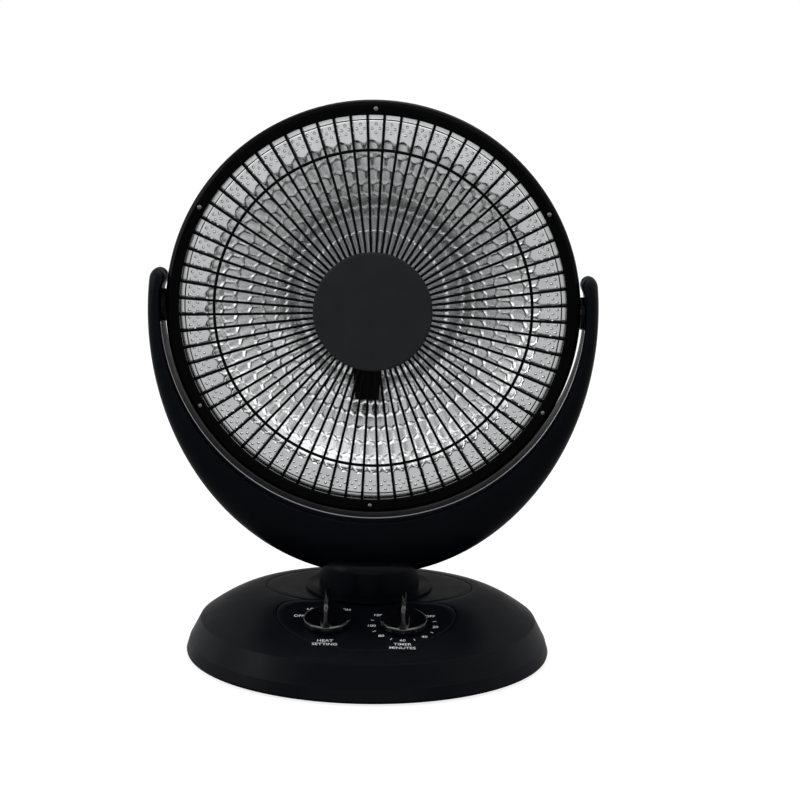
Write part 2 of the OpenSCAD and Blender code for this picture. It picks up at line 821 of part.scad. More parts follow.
// One half section at angle a, from the inner face over the crown to the outer edge.
// side is -1 for the front half and 1 for the rear half.
function yoke_section(a, side) =
    let (r_in = yoke_inner(a))
    let (r_out = yoke_outer(a))
    let (mid = (r_in + r_out) / 2)
    let (f = arm_fade(a))
    let (d = yoke_half_depth(a) * (0.35 + 0.65 * f))
    let (lo = mid - (mid - r_in) * f)
    let (hi = mid + (r_out - mid) * f)
    let (shape = concat(
        [[lo, 0], [lo, d * 0.8], [lo + 0.5, d * 0.86]],
        [
            for (k = [1:section_steps])
            let (t = 90 * k / section_steps)
            [lo + 1 + (hi - lo - 1) * pow(sin(t), 0.9), d * pow(cos(t), 0.62)]
        ]
    ))
    [
        for (p = shape)
        [sin(a) * p[0], pivot_y + side * p[1], pivot_h - cos(a) * p[0]]
    ];

module yoke_half(side) {
    rings = [for (a = yoke_angles) yoke_section(side * -a, side)];
    capped_loft(rings);
}

// Room in the yoke for the neck
module neck_seat() {
    at_neck() neck_body(0);
}

module pivot_room() {
    at_pivots() cylinder(r = bush_neck_r, h = pin_end + 1);
}

yoke_screw_angles = [-78, -40, 40, 78];
yoke_screw_d = 2.8;
yoke_screw_hole_d = 3;
yoke_screw_head_d = 5.8;
yoke_screw_head_t = 2.2;
yoke_screw_root = 5;
yoke_screw_seat = 9;

// Screws through the rear half into the front half, placed by their angle from straight down
module at_yoke_screws() {
    for (a = yoke_screw_angles) {
        r = (yoke_inner_r + yoke_outer(a)) / 2 - (yoke_outer(a) - yoke_inner_r) * 0.1;
        translate([sin(a) * r, pivot_y, pivot_h - cos(a) * r]) rotate([-90, 0, 0]) children();
    }
}

module yoke_front_shell() {
    color([0.05, 0.05, 0.06]) difference() {
        yoke_half(-1);
        neck_seat();
        pivot_room();
        at_yoke_screws() translate([0, 0, -yoke_screw_root - 1])
            cylinder(d = yoke_screw_hole_d, h = 2 * yoke_screw_root + 2);
    }
}

module yoke_rear_shell() {
    color([0.05, 0.05, 0.06]) difference() {
        yoke_half(1);
        neck_seat();
        pivot_room();
        at_yoke_screws() translate([0, 0, -yoke_screw_root - 1])
            cylinder(d = yoke_screw_hole_d, h = yoke_depth);
        at_yoke_screws() translate([0, 0, yoke_screw_seat])
            cylinder(d = yoke_screw_head_d + 2 * slip, h = yoke_depth);
    }
}

module yoke_screws() {
    color([0.5, 0.5, 0.52]) at_yoke_screws() union() {
        translate([0, 0, -yoke_screw_root])
            cylinder(d = yoke_screw_d, h = yoke_screw_root + yoke_screw_seat + 0.5);
        translate([0, 0, yoke_screw_seat]) cylinder(d = yoke_screw_head_d, h = yoke_screw_head_t);
    }
}

// Play between a bush and the head, and its distance from the yoke's face at rest
bush_play = 0.5;
bush_seat = 0.8;

module pivot_bushes() {
    color([0.05, 0.05, 0.05]) at_pivots() translate([0, 0, head_r]) difference() {
        union() {
            translate([0, 0, bush_play]) cylinder(r = bush_outer_r, h = yoke_gap - bush_play - bush_seat);
            translate([0, 0, bush_play]) cylinder(r = bush_neck_r, h = pin_end - head_r);
        }
        translate([0, 0, -1]) cylinder(r = pin_r + running, h = pin_end - head_r + 1);
    }
}

// ---------------------------------------------------------------- head

module pivot_pins() {
    color([0.7, 0.7, 0.72]) at_pivots()
        translate([0, 0, pin_root]) cylinder(r = pin_r, h = pin_end - pin_root - 0.5);
}

bezel_screw_r = head_r - bezel_w / 2 - 1;
bezel_screw_angles = [30, 90, 150, 210, 270, 330];
bezel_screw_d = 2.9;
bezel_screw_head_d = 4.2;
bezel_screw_head_t = 0.5;
bezel_screw_tip = 0.6;

module bezel_ring() {
    in_r = head_r - bezel_w;
    color([0.01, 0.01, 0.012]) at_head() difference() {
        rotate_extrude($fn = 200) polygon([
            [in_r, -bezel_front + 0.8], [in_r + 0.8, -bezel_front], [head_r - 4, -bezel_front],
            [head_r - 1.2, -bezel_front + 1], [head_r, -bezel_front + 3.5], [head_r, 0],
            [head_r - side_wall, 0], [head_r - side_wall, bezel_back],
            [in_r, bezel_back]
        ]);
        for (a = bezel_screw_angles)
            rotate([0, 0, a]) translate([bezel_screw_r, 0, -bezel_front - 1])
                cylinder(d = bezel_screw_d + 0.1, h = bezel_wall + 2);
        rotate([0, 90, 0]) cylinder(r = pin_r, h = 3 * head_r, center = true);
    }
}

module bezel_screws() {
    color([0.02, 0.02, 0.02]) at_head()
        for (a = bezel_screw_angles)
            rotate([0, 0, a]) translate([bezel_screw_r, 0, -bezel_front - bezel_screw_head_t]) union() {
                cylinder(d = bezel_screw_head_d, h = bezel_screw_head_t);
                cylinder(d = bezel_screw_d, h = bezel_wall + bezel_screw_tip);
            }
}

// Points of the bowl's section, from its mouth to the hole of the element
bowl_steps = 12;

function bowl_y(r) = bowl_bottom_y - bowl_depth * pow(r / bowl_r, 2);

bowl_curve = [
    for (k = [0:bowl_steps])
    let (r = bowl_r + (dish_hole_r - bowl_r) * k / bowl_steps)
    [r, bowl_y(r)]
];

module reflector_dish() {
    front = concat(
        [[dish_rim_r, rim_y], [flange_r + 1.2, rim_y], [flange_r - 1.2, flange_y]],
        bowl_curve
    );
    back = [for (k = [len(front) - 1:-1:0]) [front[k][0], front[k][1] + dish_t]];
    color([0.78, 0.79, 0.8]) at_head() rotate_extrude($fn = 200) polygon(concat(front, back));
}

// Rear housing: an upright rim, then an elliptic curve to the flat back
housing_rim = 12;
housing_round = 112;
housing_flat_r = head_r - housing_round;
housing_steps = 12;
vent_r = housing_flat_r + 16;
vent_len = 58;
pin_seat_r = 8;

// Section of the housing, from its rim to the flat back, drawn in by w
function housing_section(w) = [
    for (k = [0:housing_steps])
    let (t = 90 * k / housing_steps)
    [
        housing_flat_r + (head_r - housing_flat_r - w) * pow(cos(t), 1.08),
        housing_rim + (head_rear - housing_rim - w) * pow(sin(t), 1.08)
    ]
];

module rear_housing() {
    w = housing_wall;
    outside = housing_section(0);
    inside = housing_section(w);
    color([0.04, 0.04, 0.045]) difference() {
        union() {
            at_head() difference() {
                rotate_extrude($fn = 200) polygon(concat(
                    [[0, head_rear - w]],
                    [for (k = [housing_steps:-1:0]) inside[k]],
                    [[head_r - w, slip], [head_r, slip]],
                    outside,
                    [[0, head_rear]]
                ));
                for (k = [0:vent_count - 1])
                    rotate([0, 0, 360 * k / vent_count]) translate([vent_r, -vent_w / 2, head_rear / 2])
                        cube([vent_len, vent_w, head_rear]);
            }
            // Clamping rim under the dish
            at_head() rotate_extrude($fn = 200) polygon([
                [dish_rim_r - 3, rim_y + dish_t], [dish_rim_r, rim_y + dish_t], [dish_rim_r, slip],
                [head_r - w + 0.5, 2], [head_r - w + 0.5, 5], [dish_rim_r - 3, 5]
            ]);
            at_pivots() translate([0, 0, pin_root - 2]) difference() {
                cylinder(r = pin_seat_r, h = head_r - side_wall - slip - pin_root + 2);
                translate([-20, -20, -1]) cube([40, 20 + rim_y + dish_t + 0.2, 40]);
            }
        }
        at_pivots() translate([0, 0, pin_root]) cylinder(r = pin_r, h = 40);
    }
}

// ---------------------------------------------------------------- guard

// One radial wire, an arc in the plane of the head's axis
module guard_wire() {
    from = asin(wire_root_r / guard_arc_r);
    to = asin(guard_rim_r / guard_arc_r);
    centre_y = wire_y(0) + guard_arc_r;
    translate([0, 0, centre_y]) rotate([90, 0, 0]) rotate([0, 0, -90 + from])
        rotate_extrude(angle = to - from, $fn = 360)
            translate([guard_arc_r, 0]) circle(d = wire_d, $fn = 16);
}

// The wires stand half a step off the head's upright line
module guard_wires() {
    color([0.01, 0.01, 0.01]) at_head()
        for (k = [0:wire_count - 1])
            rotate([0, 0, 360 * (k + 0.5) / wire_count]) guard_wire();
}

// A ring of wire behind the radial wires
module guard_ring(r, wire) {
    color([0.01, 0.01, 0.01]) at_head() translate([0, 0, wire_y(r) + wire_d / 2 + wire / 2 + 0.05])
        rotate_extrude($fn = 180) translate([r, 0]) circle(d = wire, $fn = 24);
}

module guard_outer_ring() {
    guard_ring(guard_rim_r - ring_wire_d / 2, ring_wire_d);
}

module guard_mid_ring() {
    guard_ring(head_r - mid_ring_inset, ring_wire_d);
}

// A tapered stay under the hub, welded to the inner ring, which steadies the element's tip
stay_root_w = 25;
stay_tip_w = 20;
stay_shift = -4;
stay_reach = 26;
stay_t = 1.4;

module hub_stay() {
    ring_y = wire_y(hub_r - 3) + wire_d / 2 + ring_wire_d / 2;
    color([0.02, 0.02, 0.02]) at_head() translate([stay_shift, 0, ring_y + 0.5])
        linear_extrude(stay_t) polygon([
            [-stay_root_w / 2, hub_r - 6], [stay_root_w / 2, hub_r - 6],
            [stay_tip_w / 2, hub_r + stay_reach], [-stay_tip_w / 2, hub_r + stay_reach]
        ]);
}

module guard_inner_ring() {
    union() {
        guard_ring(hub_r - 3, ring_wire_d);
        hub_stay();
    }
}

module hub_disc() {
    color([0.12, 0.125, 0.13]) at_head() rotate_extrude($fn = 180) polygon([
        [0, hub_back_y], [hub_r - 0.6, hub_back_y], [hub_r, hub_back_y - 0.6],
        [hub_r, hub_back_y - hub_t + 1.2], [hub_r - 1, hub_back_y - hub_t + 0.2],
        [hub_r - 3, hub_back_y - hub_t], [0, hub_back_y - hub_t]
    ]);
}

// ---------------------------------------------------------------- element

core_root_y = bowl_bottom_y - 3;
core_foot = 8;
core_chamfer = 1.5;

function core_r(y) =
    core_tip_d / 2 + (core_root_d - core_tip_d) / 2 * (1 - (core_root_y - y) / core_len);

module element_core() {
    color([0.9, 0.88, 0.83]) at_head() rotate_extrude() polygon([
        [0, core_root_y + core_foot], [core_root_d / 2, core_root_y + core_foot],
        [core_root_d / 2, core_root_y], [core_tip_d / 2, core_root_y - core_len],
        [core_tip_d / 2 - core_chamfer, core_root_y - core_len - core_chamfer],
        [0, core_root_y - core_len - core_chamfer]
    ]);
}

coil_steps = 24;
coil_start_y = core_root_y - 4;
coil_rise = (core_len - 10) / coil_turns;
coil_gap = coil_rise - coil_wire_d;
echo(coil_gap = coil_gap);

// The curled heating wire, wound down the core in one helix
module element_coil() {
    color([0.45, 0.4, 0.36]) at_head() tube_along(
        [
            for (k = [0:coil_turns * coil_steps])
            let (y = coil_start_y - coil_rise * k / coil_steps)
            let (r = core_r(y) + coil_wire_d / 2 + 0.3)
            [r * cos(360 * k / coil_steps), r * sin(360 * k / coil_steps), y]
        ],
        coil_wire_d / 2, 6
    );
}

holder_h = 9;
holder_plate_w = 6;
holder_plate_t = 1.5;

module element_holder() {
    color([0.6, 0.6, 0.62]) at_head() difference() {
        translate([0, 0, bowl_bottom_y + dish_t]) union() {
            cylinder(r = dish_hole_r + holder_plate_w, h = holder_plate_t);
            cylinder(r = dish_hole_r, h = holder_h);
        }
        translate([0, 0, core_root_y]) cylinder(d = core_root_d, h = core_foot);
    }
}

// Thermal cut-out on the back of the dish
cutout_r = 40;
cutout_d = 16;
cutout_h = 6;
cutout_tab_len = 22;
cutout_y = bowl_y(cutout_r - cutout_d / 2 - 1) + dish_t + 0.2;

module thermal_cutout() {
    color([0.7, 0.7, 0.7]) at_head() translate([0, -cutout_r, cutout_y]) union() {
        cylinder(d = cutout_d, h = cutout_h);
        translate([-cutout_tab_len / 2, -3, 2]) cube([cutout_tab_len, 6, 1]);
    }
}

base_shell();
control_panel();
top_cover();
bearing_bush();
bottom_plate();
rubber_feet();
base_screws();
counterweight();
heat_switch();
timer_unit();
tip_switch();
tip_spring();
tip_plunger();
drive_motor();
drive_crank();
cord_gland();
terminal_block();
heat_knob();
heat_spindle();
timer_knob();
timer_spindle();
collar_disc();
neck();
column();
retaining_clip();
swing_lever();
yoke_front_shell();
yoke_rear_shell();
yoke_screws();
pivot_bushes();
pivot_pins();
bezel_ring();
rear_housing();
reflector_dish();
guard_wires();
guard_outer_ring();
guard_mid_ring();
guard_inner_ring();
hub_disc();
bezel_screws();
element_core();
element_coil();
element_holder();
thermal_cutout();
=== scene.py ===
"""Studio scene of a parabolic dish heater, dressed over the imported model's frame.

The frame, PIVOT, the camera, the floor and the lamps are in metres. The pieces' forms are in millimetres.
"""

import json
import math

import bpy
import numpy as np
from mathutils import Matrix, Vector


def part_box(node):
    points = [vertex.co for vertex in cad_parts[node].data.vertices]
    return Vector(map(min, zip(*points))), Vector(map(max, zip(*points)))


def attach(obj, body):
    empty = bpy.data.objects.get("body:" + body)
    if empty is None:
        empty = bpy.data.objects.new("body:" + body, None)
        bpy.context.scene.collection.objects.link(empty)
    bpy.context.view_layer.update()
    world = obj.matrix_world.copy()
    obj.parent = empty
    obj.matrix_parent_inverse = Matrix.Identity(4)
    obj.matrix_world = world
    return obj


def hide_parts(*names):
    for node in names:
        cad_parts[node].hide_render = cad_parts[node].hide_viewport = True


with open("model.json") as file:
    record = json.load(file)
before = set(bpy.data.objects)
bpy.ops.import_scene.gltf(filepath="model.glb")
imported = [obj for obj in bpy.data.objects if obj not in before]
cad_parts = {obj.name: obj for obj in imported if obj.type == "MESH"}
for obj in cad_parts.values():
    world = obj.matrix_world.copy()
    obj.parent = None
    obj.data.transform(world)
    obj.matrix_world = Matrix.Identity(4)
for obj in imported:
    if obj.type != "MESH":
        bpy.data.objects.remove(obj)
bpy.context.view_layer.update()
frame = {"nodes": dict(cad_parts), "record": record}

MM = 0.001
TAU = 2 * math.pi


# ---------------------------------------------------------------- places taken from the frame

ring_low, ring_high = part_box("bezel_ring")
hub_low, hub_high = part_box("hub_disc")
foot_low, foot_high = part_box("base_shell")

# The head's axis runs along y and crosses the tilt axis at PIVOT, above the middle of the neck.
# Forms on the head have their x, y and z from there, so that a negative y is in front of the tilt axis.
PIVOT = Vector((0, ring_high[1], (ring_high[2] + ring_low[2]) / 2))
NECK_Y = PIVOT.y / MM
HEAD_R = (ring_high[0] - ring_low[0]) / 2 / MM
BEZEL_FACE = -(ring_high[1] - ring_low[1]) / MM
HUB_R = (hub_high[0] - hub_low[0]) / 2 / MM
HUB_FACE = hub_low[1] / MM - NECK_Y
HUB_BACK = hub_high[1] / MM - NECK_Y
RIM_A = (foot_high[0] - foot_low[0]) / 2 / MM
RIM_B = (foot_high[1] - foot_low[1]) / 2 / MM
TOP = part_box("top_cover")[1].z / MM


# ---------------------------------------------------------------- camera

def add_camera():
    """The photograph's camera, fitted to its rings and to the foot."""
    distance = 1.547
    aside = 0.05
    height = 0.515
    pitch = 0.188
    roll = 0.0215
    focal_px = 1814
    principal_x = 429.6
    width_px = 800
    lower_px = 2
    sensor_mm = 36
    data = bpy.data.cameras.new("camera")
    data.sensor_width = sensor_mm
    data.lens = focal_px / width_px * sensor_mm
    data.shift_x = (width_px / 2 - principal_x) / width_px
    data.shift_y = lower_px / width_px
    camera = bpy.data.objects.new("camera", data)
    bpy.context.collection.objects.link(camera)
    turn = Matrix.Rotation(math.pi / 2 - pitch, 4, "X") @ Matrix.Rotation(roll, 4, "Z")
    camera.matrix_world = Matrix.Translation((aside, PIVOT.y - distance, height)) @ turn
    bpy.context.scene.camera = camera


add_camera()


# ---------------------------------------------------------------- mesh helpers

FILLET_STEPS = 6
FILLET_REACH = 0.49


def new_object(name, verts, faces, smooth=True):
    """A piece with its own mesh, from vertices in metres."""
    mesh = bpy.data.meshes.new(name)
    mesh.from_pydata([tuple(v) for v in verts], [], faces)
    mesh.validate()
    mesh.polygons.foreach_set("use_smooth", [smooth] * len(mesh.polygons))
    mesh.update()
    piece = bpy.data.objects.new(name, mesh)
    bpy.context.collection.objects.link(piece)
    return piece


def skin(rings, flip=False, cap_first=False, cap_last=False):
    """Vertices and faces of the surface through closed rings of equally many points."""
    rings = np.asarray(rings, dtype=float)
    count, around, _ = rings.shape
    faces = []
    for k in range(count - 1):
        for i in range(around):
            j = (i + 1) % around
            quad = (k * around + i, k * around + j, (k + 1) * around + j, (k + 1) * around + i)
            faces.append(quad[::-1] if flip else quad)
    if cap_first:
        cap = tuple(range(around))
        faces.append(cap if flip else cap[::-1])
    if cap_last:
        cap = tuple(range((count - 1) * around, count * around))
        faces.append(cap[::-1] if flip else cap)
    return rings.reshape(-1, 3), faces


def add_part(verts, faces, part):
    """Adds a part's vertices and faces to the lists of a piece that has several parts."""
    offset = sum(len(v) for v in verts)
    verts.append(part[0])
    faces += [tuple(i + offset for i in face) for face in part[1]]


def fillet(points):
    """A path through (x, y, radius) points, each corner rounded to about its radius."""
    path = []
    for k, (x, y, radius) in enumerate(points):
        here = Vector((x, y))
        if radius <= 0 or k in (0, len(points) - 1):
            path.append((x, y))
            continue
        to_prev = Vector(points[k - 1][:2]) - here
        to_next = Vector(points[k + 1][:2]) - here
        a = to_prev.normalized()
        b = to_next.normalized()
        half = math.acos(max(-1, min(1, a.dot(b)))) / 2
        longest = min(to_prev.length, to_next.length) * FILLET_REACH
        reach = min(radius / math.tan(half), longest)
        for step in range(FILLET_STEPS + 1):
            t = step / FILLET_STEPS
            p = here + a * reach * (1 - t) ** 2 + b * reach * t ** 2
            path.append((p.x, p.y))
    return path


def round_angles(count):
    """Angles in even steps, once round."""
    return np.arange(count) * TAU / count


def head_rings(profile, sides):
    """Rings about the head's axis, from (distance from the axis, y) points."""
    a = round_angles(sides)
    return np.array([
        np.stack([r * np.cos(a), np.full(sides, y), r * np.sin(a)], axis=-1) for r, y in profile
    ])


def on_head(name, verts, faces):
    """A piece whose vertices are given from PIVOT, in millimetres."""
    return new_object(name, verts * MM + np.array(PIVOT), faces)


def spin_head(name, profile, sides, flip=False):
    """A form turned about the head's axis."""
    verts, faces = skin(head_rings(profile, sides), flip=flip)
    return on_head(name, verts, faces)


def turned(points, angles):
    """Copies of points about the head's axis, one for each angle clockwise from the top."""
    x, y, z = points[..., 0], points[..., 1], points[..., 2]
    return [
        np.stack([x * math.cos(a) + z * math.sin(a), y, z * math.cos(a) - x * math.sin(a)], axis=-1)
        for a in angles
    ]


def add_copies(verts, faces, rings, angles):
    """Adds copies of a small capped form from the top of the head's front, turned by the angles."""
    for copy in turned(rings, angles):
        add_part(verts, faces, skin(copy, flip=True, cap_last=True))


# ---------------------------------------------------------------- materials

# Most of a noise texture's values lie between these two.
NOISE_LOW = 0.3
NOISE_HIGH = 0.7

# A Mix node's sockets for colours, which share their names with its other sockets.
MIX_FACTOR = 0
MIX_DARK = 6
MIX_LIGHT = 7
MIX_COLOR = 2


def map_range(tree, source, start, end, low, high):
    """Source spread from low, at start, to high, at end, and level beyond them."""
    node = tree.nodes.new("ShaderNodeMapRange")
    for socket, value in (("From Min", start), ("From Max", end), ("To Min", low), ("To Max", high)):
        node.inputs[socket].default_value = value
    tree.links.new(source, node.inputs["Value"])
    return node.outputs["Result"]


def math_node(tree, operation, *terms):
    """The result of an operation on numbers and other nodes' outputs."""
    node = tree.nodes.new("ShaderNodeMath")
    node.operation = operation
    for socket, term in zip(node.inputs, terms):
        if isinstance(term, float):
            socket.default_value = term
        else:
            tree.links.new(term, socket)
    return node.outputs[0]


class Nodes:
    """A material's node tree, with short calls for what these materials need."""

    def __init__(self, name):
        self.material = bpy.data.materials.new(name)
        self.material.use_nodes = True
        self.tree = self.material.node_tree
        self.shader = self.tree.nodes["Principled BSDF"]

    def set(self, socket, value):
        """Sets one of the shader's sockets to a plain value."""
        self.shader.inputs[socket].default_value = value

    def noise(self, scale, detail):
        """Noise over the piece's own coordinates."""
        place = self.tree.nodes.new("ShaderNodeTexCoord").outputs["Object"]
        node = self.tree.nodes.new("ShaderNodeTexNoise")
        node.inputs["Scale"].default_value = scale
        node.inputs["Detail"].default_value = detail
        self.tree.links.new(place, node.inputs["Vector"])
        return node.outputs["Fac"]

    def drift(self, scale, detail, low, high):
        """Noise that drifts between low and high."""
        return map_range(self.tree, self.noise(scale, detail), NOISE_LOW, NOISE_HIGH, low, high)

    def color(self, dark, light, scale, detail=4):
        """A colour that drifts between dark and light."""
        node = self.tree.nodes.new("ShaderNodeMix")
        node.data_type = "RGBA"
        node.inputs[MIX_DARK].default_value = (*dark, 1)
        node.inputs[MIX_LIGHT].default_value = (*light, 1)
        self.tree.links.new(self.drift(scale, detail, 0, 1), node.inputs[MIX_FACTOR])
        self.tree.links.new(node.outputs[MIX_COLOR], self.shader.inputs["Base Color"])

    def roughness(self, middle, spread, scale, detail=4):
        """A roughness that drifts by half the spread to each side of its middle."""
        level = self.drift(scale, detail, middle - spread / 2, middle + spread / 2)
        self.tree.links.new(level, self.shader.inputs["Roughness"])

    def grain(self, height, strength, scale, detail):
        """Fine unevenness, its height in metres."""
        node = self.tree.nodes.new("ShaderNodeBump")
        node.inputs["Strength"].default_value = strength
        node.inputs["Distance"].default_value = height
        self.tree.links.new(self.noise(scale, detail), node.inputs["Height"])
        self.tree.links.new(node.outputs["Normal"], self.shader.inputs["Normal"])


def moulded(name, color, rough, grain=0.00004, scale=1400, spread=0.08, shine=0.12):
    """Moulded plastic: a fine grain, and a gloss that varies a little over the surface."""
    m = Nodes(name)
    lighter = tuple(c * 1.25 + 0.0005 for c in color)
    m.color(color, lighter, scale=35)
    m.roughness(rough, spread, scale=60, detail=6)
    m.grain(grain, strength=0.35, scale=scale, detail=3)
    m.set("Specular IOR Level", shine)
    return m.material


def metal(name, color, rough, grain=0.00003, scale=900, spread=0.1):
    """Plain metal with a fine worked surface."""
    m = Nodes(name)
    m.set("Metallic", 1.0)
    darker = tuple(c * 0.88 for c in color)
    m.color(darker, color, scale=50)
    m.roughness(rough, spread, scale=120, detail=6)
    m.grain(grain, strength=0.3, scale=scale, detail=2)
    return m.material


def painted(name, color, rough, shine):
    """Enamelled steel, with the slight orange peel of its paint."""
    m = Nodes(name)
    lighter = tuple(c * 1.3 for c in color)
    m.color(color, lighter, scale=80)
    m.roughness(rough, spread=0.1, scale=150)
    m.grain(height=0.00003, strength=0.3, scale=500, detail=2)
    m.set("Specular IOR Level", shine)
    return m.material


BLACK = (0.0015, 0.0019, 0.0036)
GLOSS_BLACK = (0.0007, 0.0008, 0.0013)
WIRE_BLACK = (0.0012, 0.0012, 0.0018)
DIAL_BLACK = (0.0012, 0.0014, 0.0024)
ALUMINIUM = (0.9, 0.91, 0.92)
MATERIALS = {
    "casing": moulded("satin_casing", BLACK, 0.34, shine=0.05),
    "bezel": moulded("gloss_bezel", GLOSS_BLACK, 0.16, grain=0.00001, spread=0.05, shine=0.035),
    "reflector": metal("embossed_aluminium", ALUMINIUM, 0.2, grain=0.000004, scale=2500, spread=0.04),
    "guard": painted("black_wire", WIRE_BLACK, 0.35, shine=0.04),
    "hub": moulded("matt_hub", (0.0165, 0.0178, 0.0198), 0.55, grain=0.00012, scale=1100),
    "knobs": moulded("dial_plastic", DIAL_BLACK, 0.13, grain=0.00001, spread=0.04, shine=0.6),
    "rubber": moulded("rubber", (0.012, 0.012, 0.012), 0.75, grain=0.0001),
    "steel": metal("plated_steel", (0.55, 0.55, 0.56), 0.32),
    "bead": metal("satin_bead", (0.2, 0.195, 0.21), 0.22, spread=0.05),
    "dark_screws": metal("polished_screws", (0.14, 0.14, 0.145), 0.08, spread=0.03),
    "weight": metal("cast_iron", (0.2, 0.2, 0.21), 0.6, grain=0.0003, scale=300),
    "shield": painted("white_enamel", (0.72, 0.72, 0.73), 0.4, shine=0.5),
    "ceramic": moulded("ceramic", (0.7, 0.67, 0.6), 0.6, grain=0.0001, scale=500),
    "element_wire": metal("heating_wire", (0.32, 0.28, 0.25), 0.45),
    "works": moulded("phenolic", (0.5, 0.47, 0.4), 0.5),
    "bearing": moulded("acetal", (0.7, 0.69, 0.64), 0.4),
    "lettering": moulded("white_print", (0.8, 0.8, 0.82), 0.6, grain=0.00002),
}
CRISP_ANGLE = math.radians(32)


def finish_with(piece, slot_name, body, replaced=(), material=None):
    """Gives a piece its slot's material, or the one named, its body, and hides the nodes that it stands
    for.
    """
    piece.data.materials.clear()
    piece.data.materials.append(MATERIALS[material or slot_name])
    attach(piece, body)
    if replaced:
        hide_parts(*replaced)


def dress_nodes():
    """Every CAD node gets its slot's material, and sharp edges where its faces meet at a corner."""
    slots = {part["node"]: part["material_slot"] for part in frame["record"]["subparts"]}
    for node, piece in frame["nodes"].items():
        piece.data.materials.clear()
        piece.data.materials.append(MATERIALS[slots[node]])
        piece.data.set_sharp_from_angle(angle=CRISP_ANGLE)


dress_nodes()


# ---------------------------------------------------------------- foot

PANEL_TILT = math.radians(11)
PANEL_FRONT = -121
PANEL_LOW = 36.6
EDGE_H = 31
EDGE_INSET = 12
EDGE_A = RIM_A - EDGE_INSET
EDGE_B = RIM_B - EDGE_INSET
COVER_A = 91
COVER_B = 57
DOME_POWER = 1.75
HALVINGS = 40
JUST_BELOW = 1e-4
JUST_FORWARD = -1e-6

FOOT_SIDES = 640
FOOT_START = -36.0
DOME_RINGS = 22
# The lip of the foot's opening, as (distance out from it, depth below the dome).
LIP = ((0, 1.6), (0.05, 0.5), (0.3, 0.1), (0.7, 0.0))
# The foot's wall from the dome's edge down, as (distance in from the rim, height, radius).
WALL = (
    (EDGE_INSET + 3, EDGE_H + 2.2, 0), (EDGE_INSET, EDGE_H, 3), (3.3, 14.2, 1.4), (2.7, 13.2, 1.2),
    (0, 4, 1), (0.5, 1.9, 0.5), (2.6, 1.9, 0),
)

PLATE_SIDES = 480
PLATE_RINGS = 12
PLATE_GAP = 0.25
PANEL_START = -75.0
# The rolled edge of a plate, as (distance in from it, depth below the plate's face).
PLATE_EDGE = ((0.0, 1.6), (0.03, 0.6), (0.2, 0.2), (0.6, 0.0))


def dome_height(x, y):
    """Height of the dome over a point of the plan: its level ovals shrink from the edge to the cover."""
    low = np.zeros_like(x)
    high = np.ones_like(x)
    for _ in range(HALVINGS):
        s = (low + high) / 2
        a = EDGE_A + (COVER_A - EDGE_A) * s
        b = EDGE_B + (COVER_B - EDGE_B) * s
        outside = (x / a) ** 2 + ((y - NECK_Y * s) / b) ** 2 > 1
        high = np.where(outside, s, high)
        low = np.where(outside, low, s)
    return TOP - (TOP - EDGE_H) * (1 - low) ** DOME_POWER


def panel_height(y):
    """Height of the sloping panel's plane."""
    return PANEL_LOW + (y - PANEL_FRONT) * math.tan(PANEL_TILT)


def ray_to_oval(start_y, angles, a, b, centre_y=0.0):
    """Distance from (0, start_y) to an oval, along each direction."""
    dx = np.cos(angles)
    dy = np.sin(angles)
    y0 = start_y - centre_y
    p = (dx / a) ** 2 + (dy / b) ** 2
    q = 2 * y0 * dy / b ** 2
    c = (y0 / b) ** 2 - 1
    return (-q + np.sqrt(q * q - 4 * p * c)) / (2 * p)


def ray_to_panel_edge(start_y, angles):
    """Distance from (0, start_y) to where the panel's plane leaves the dome."""
    low = np.zeros_like(angles)
    high = ray_to_oval(start_y, angles, EDGE_A, EDGE_B)
    for _ in range(HALVINGS):
        r = (low + high) / 2
        x = r * np.cos(angles)
        y = start_y + r * np.sin(angles)
        inside = panel_height(y) < dome_height(x, y) - JUST_BELOW
        low = np.where(inside, r, low)
        high = np.where(inside, high, r)
    return low


def ray_to_cover_edge(start_y, angles):
    """Distance from (0, start_y) to the cover's edge: its oval, cut off by the panel."""
    oval = ray_to_oval(start_y, angles, COVER_A, COVER_B, NECK_Y)
    chord_y = PANEL_FRONT + (TOP - PANEL_LOW) / math.tan(PANEL_TILT)
    forward = np.minimum(np.sin(angles), JUST_FORWARD)
    return np.minimum(oval, (chord_y - start_y) / forward)


def plan_ring(start_y, angles, r, z):
    """Points at distance r from (0, start_y) and at height z, in metres."""
    x = r * np.cos(angles)
    y = start_y + r * np.sin(angles)
    return np.stack([x, y, z * np.ones_like(x)], axis=1) * MM


def make_foot():
    """The foot's moulding, with an opening for the panel and the cover."""
    angles = round_angles(FOOT_SIDES)
    opening = np.maximum(
        ray_to_panel_edge(FOOT_START, angles),
        ray_to_oval(FOOT_START, angles, COVER_A, COVER_B, NECK_Y),
    )
    edge = ray_to_oval(FOOT_START, angles, EDGE_A, EDGE_B)
    rings = []

    def on_dome(r, sink=0.0):
        x = r * np.cos(angles)
        y = FOOT_START + r * np.sin(angles)
        rings.append(plan_ring(FOOT_START, angles, r, dome_height(x, y) - sink))

    for out, sink in LIP:
        on_dome(opening + out, sink)
    lip_width = LIP[-1][0]
    for k in range(1, DOME_RINGS):
        on_dome(opening + lip_width + (edge - opening - lip_width) * (k / DOME_RINGS))
    for inset, z in fillet(WALL)[1:]:
        r = ray_to_oval(FOOT_START, angles, RIM_A - inset, RIM_B - inset)
        rings.append(plan_ring(FOOT_START, angles, r, z))
    verts, faces = skin(rings, flip=True)
    finish_with(new_object("foot_moulding", verts, faces), "casing", "base", ["base_shell"])


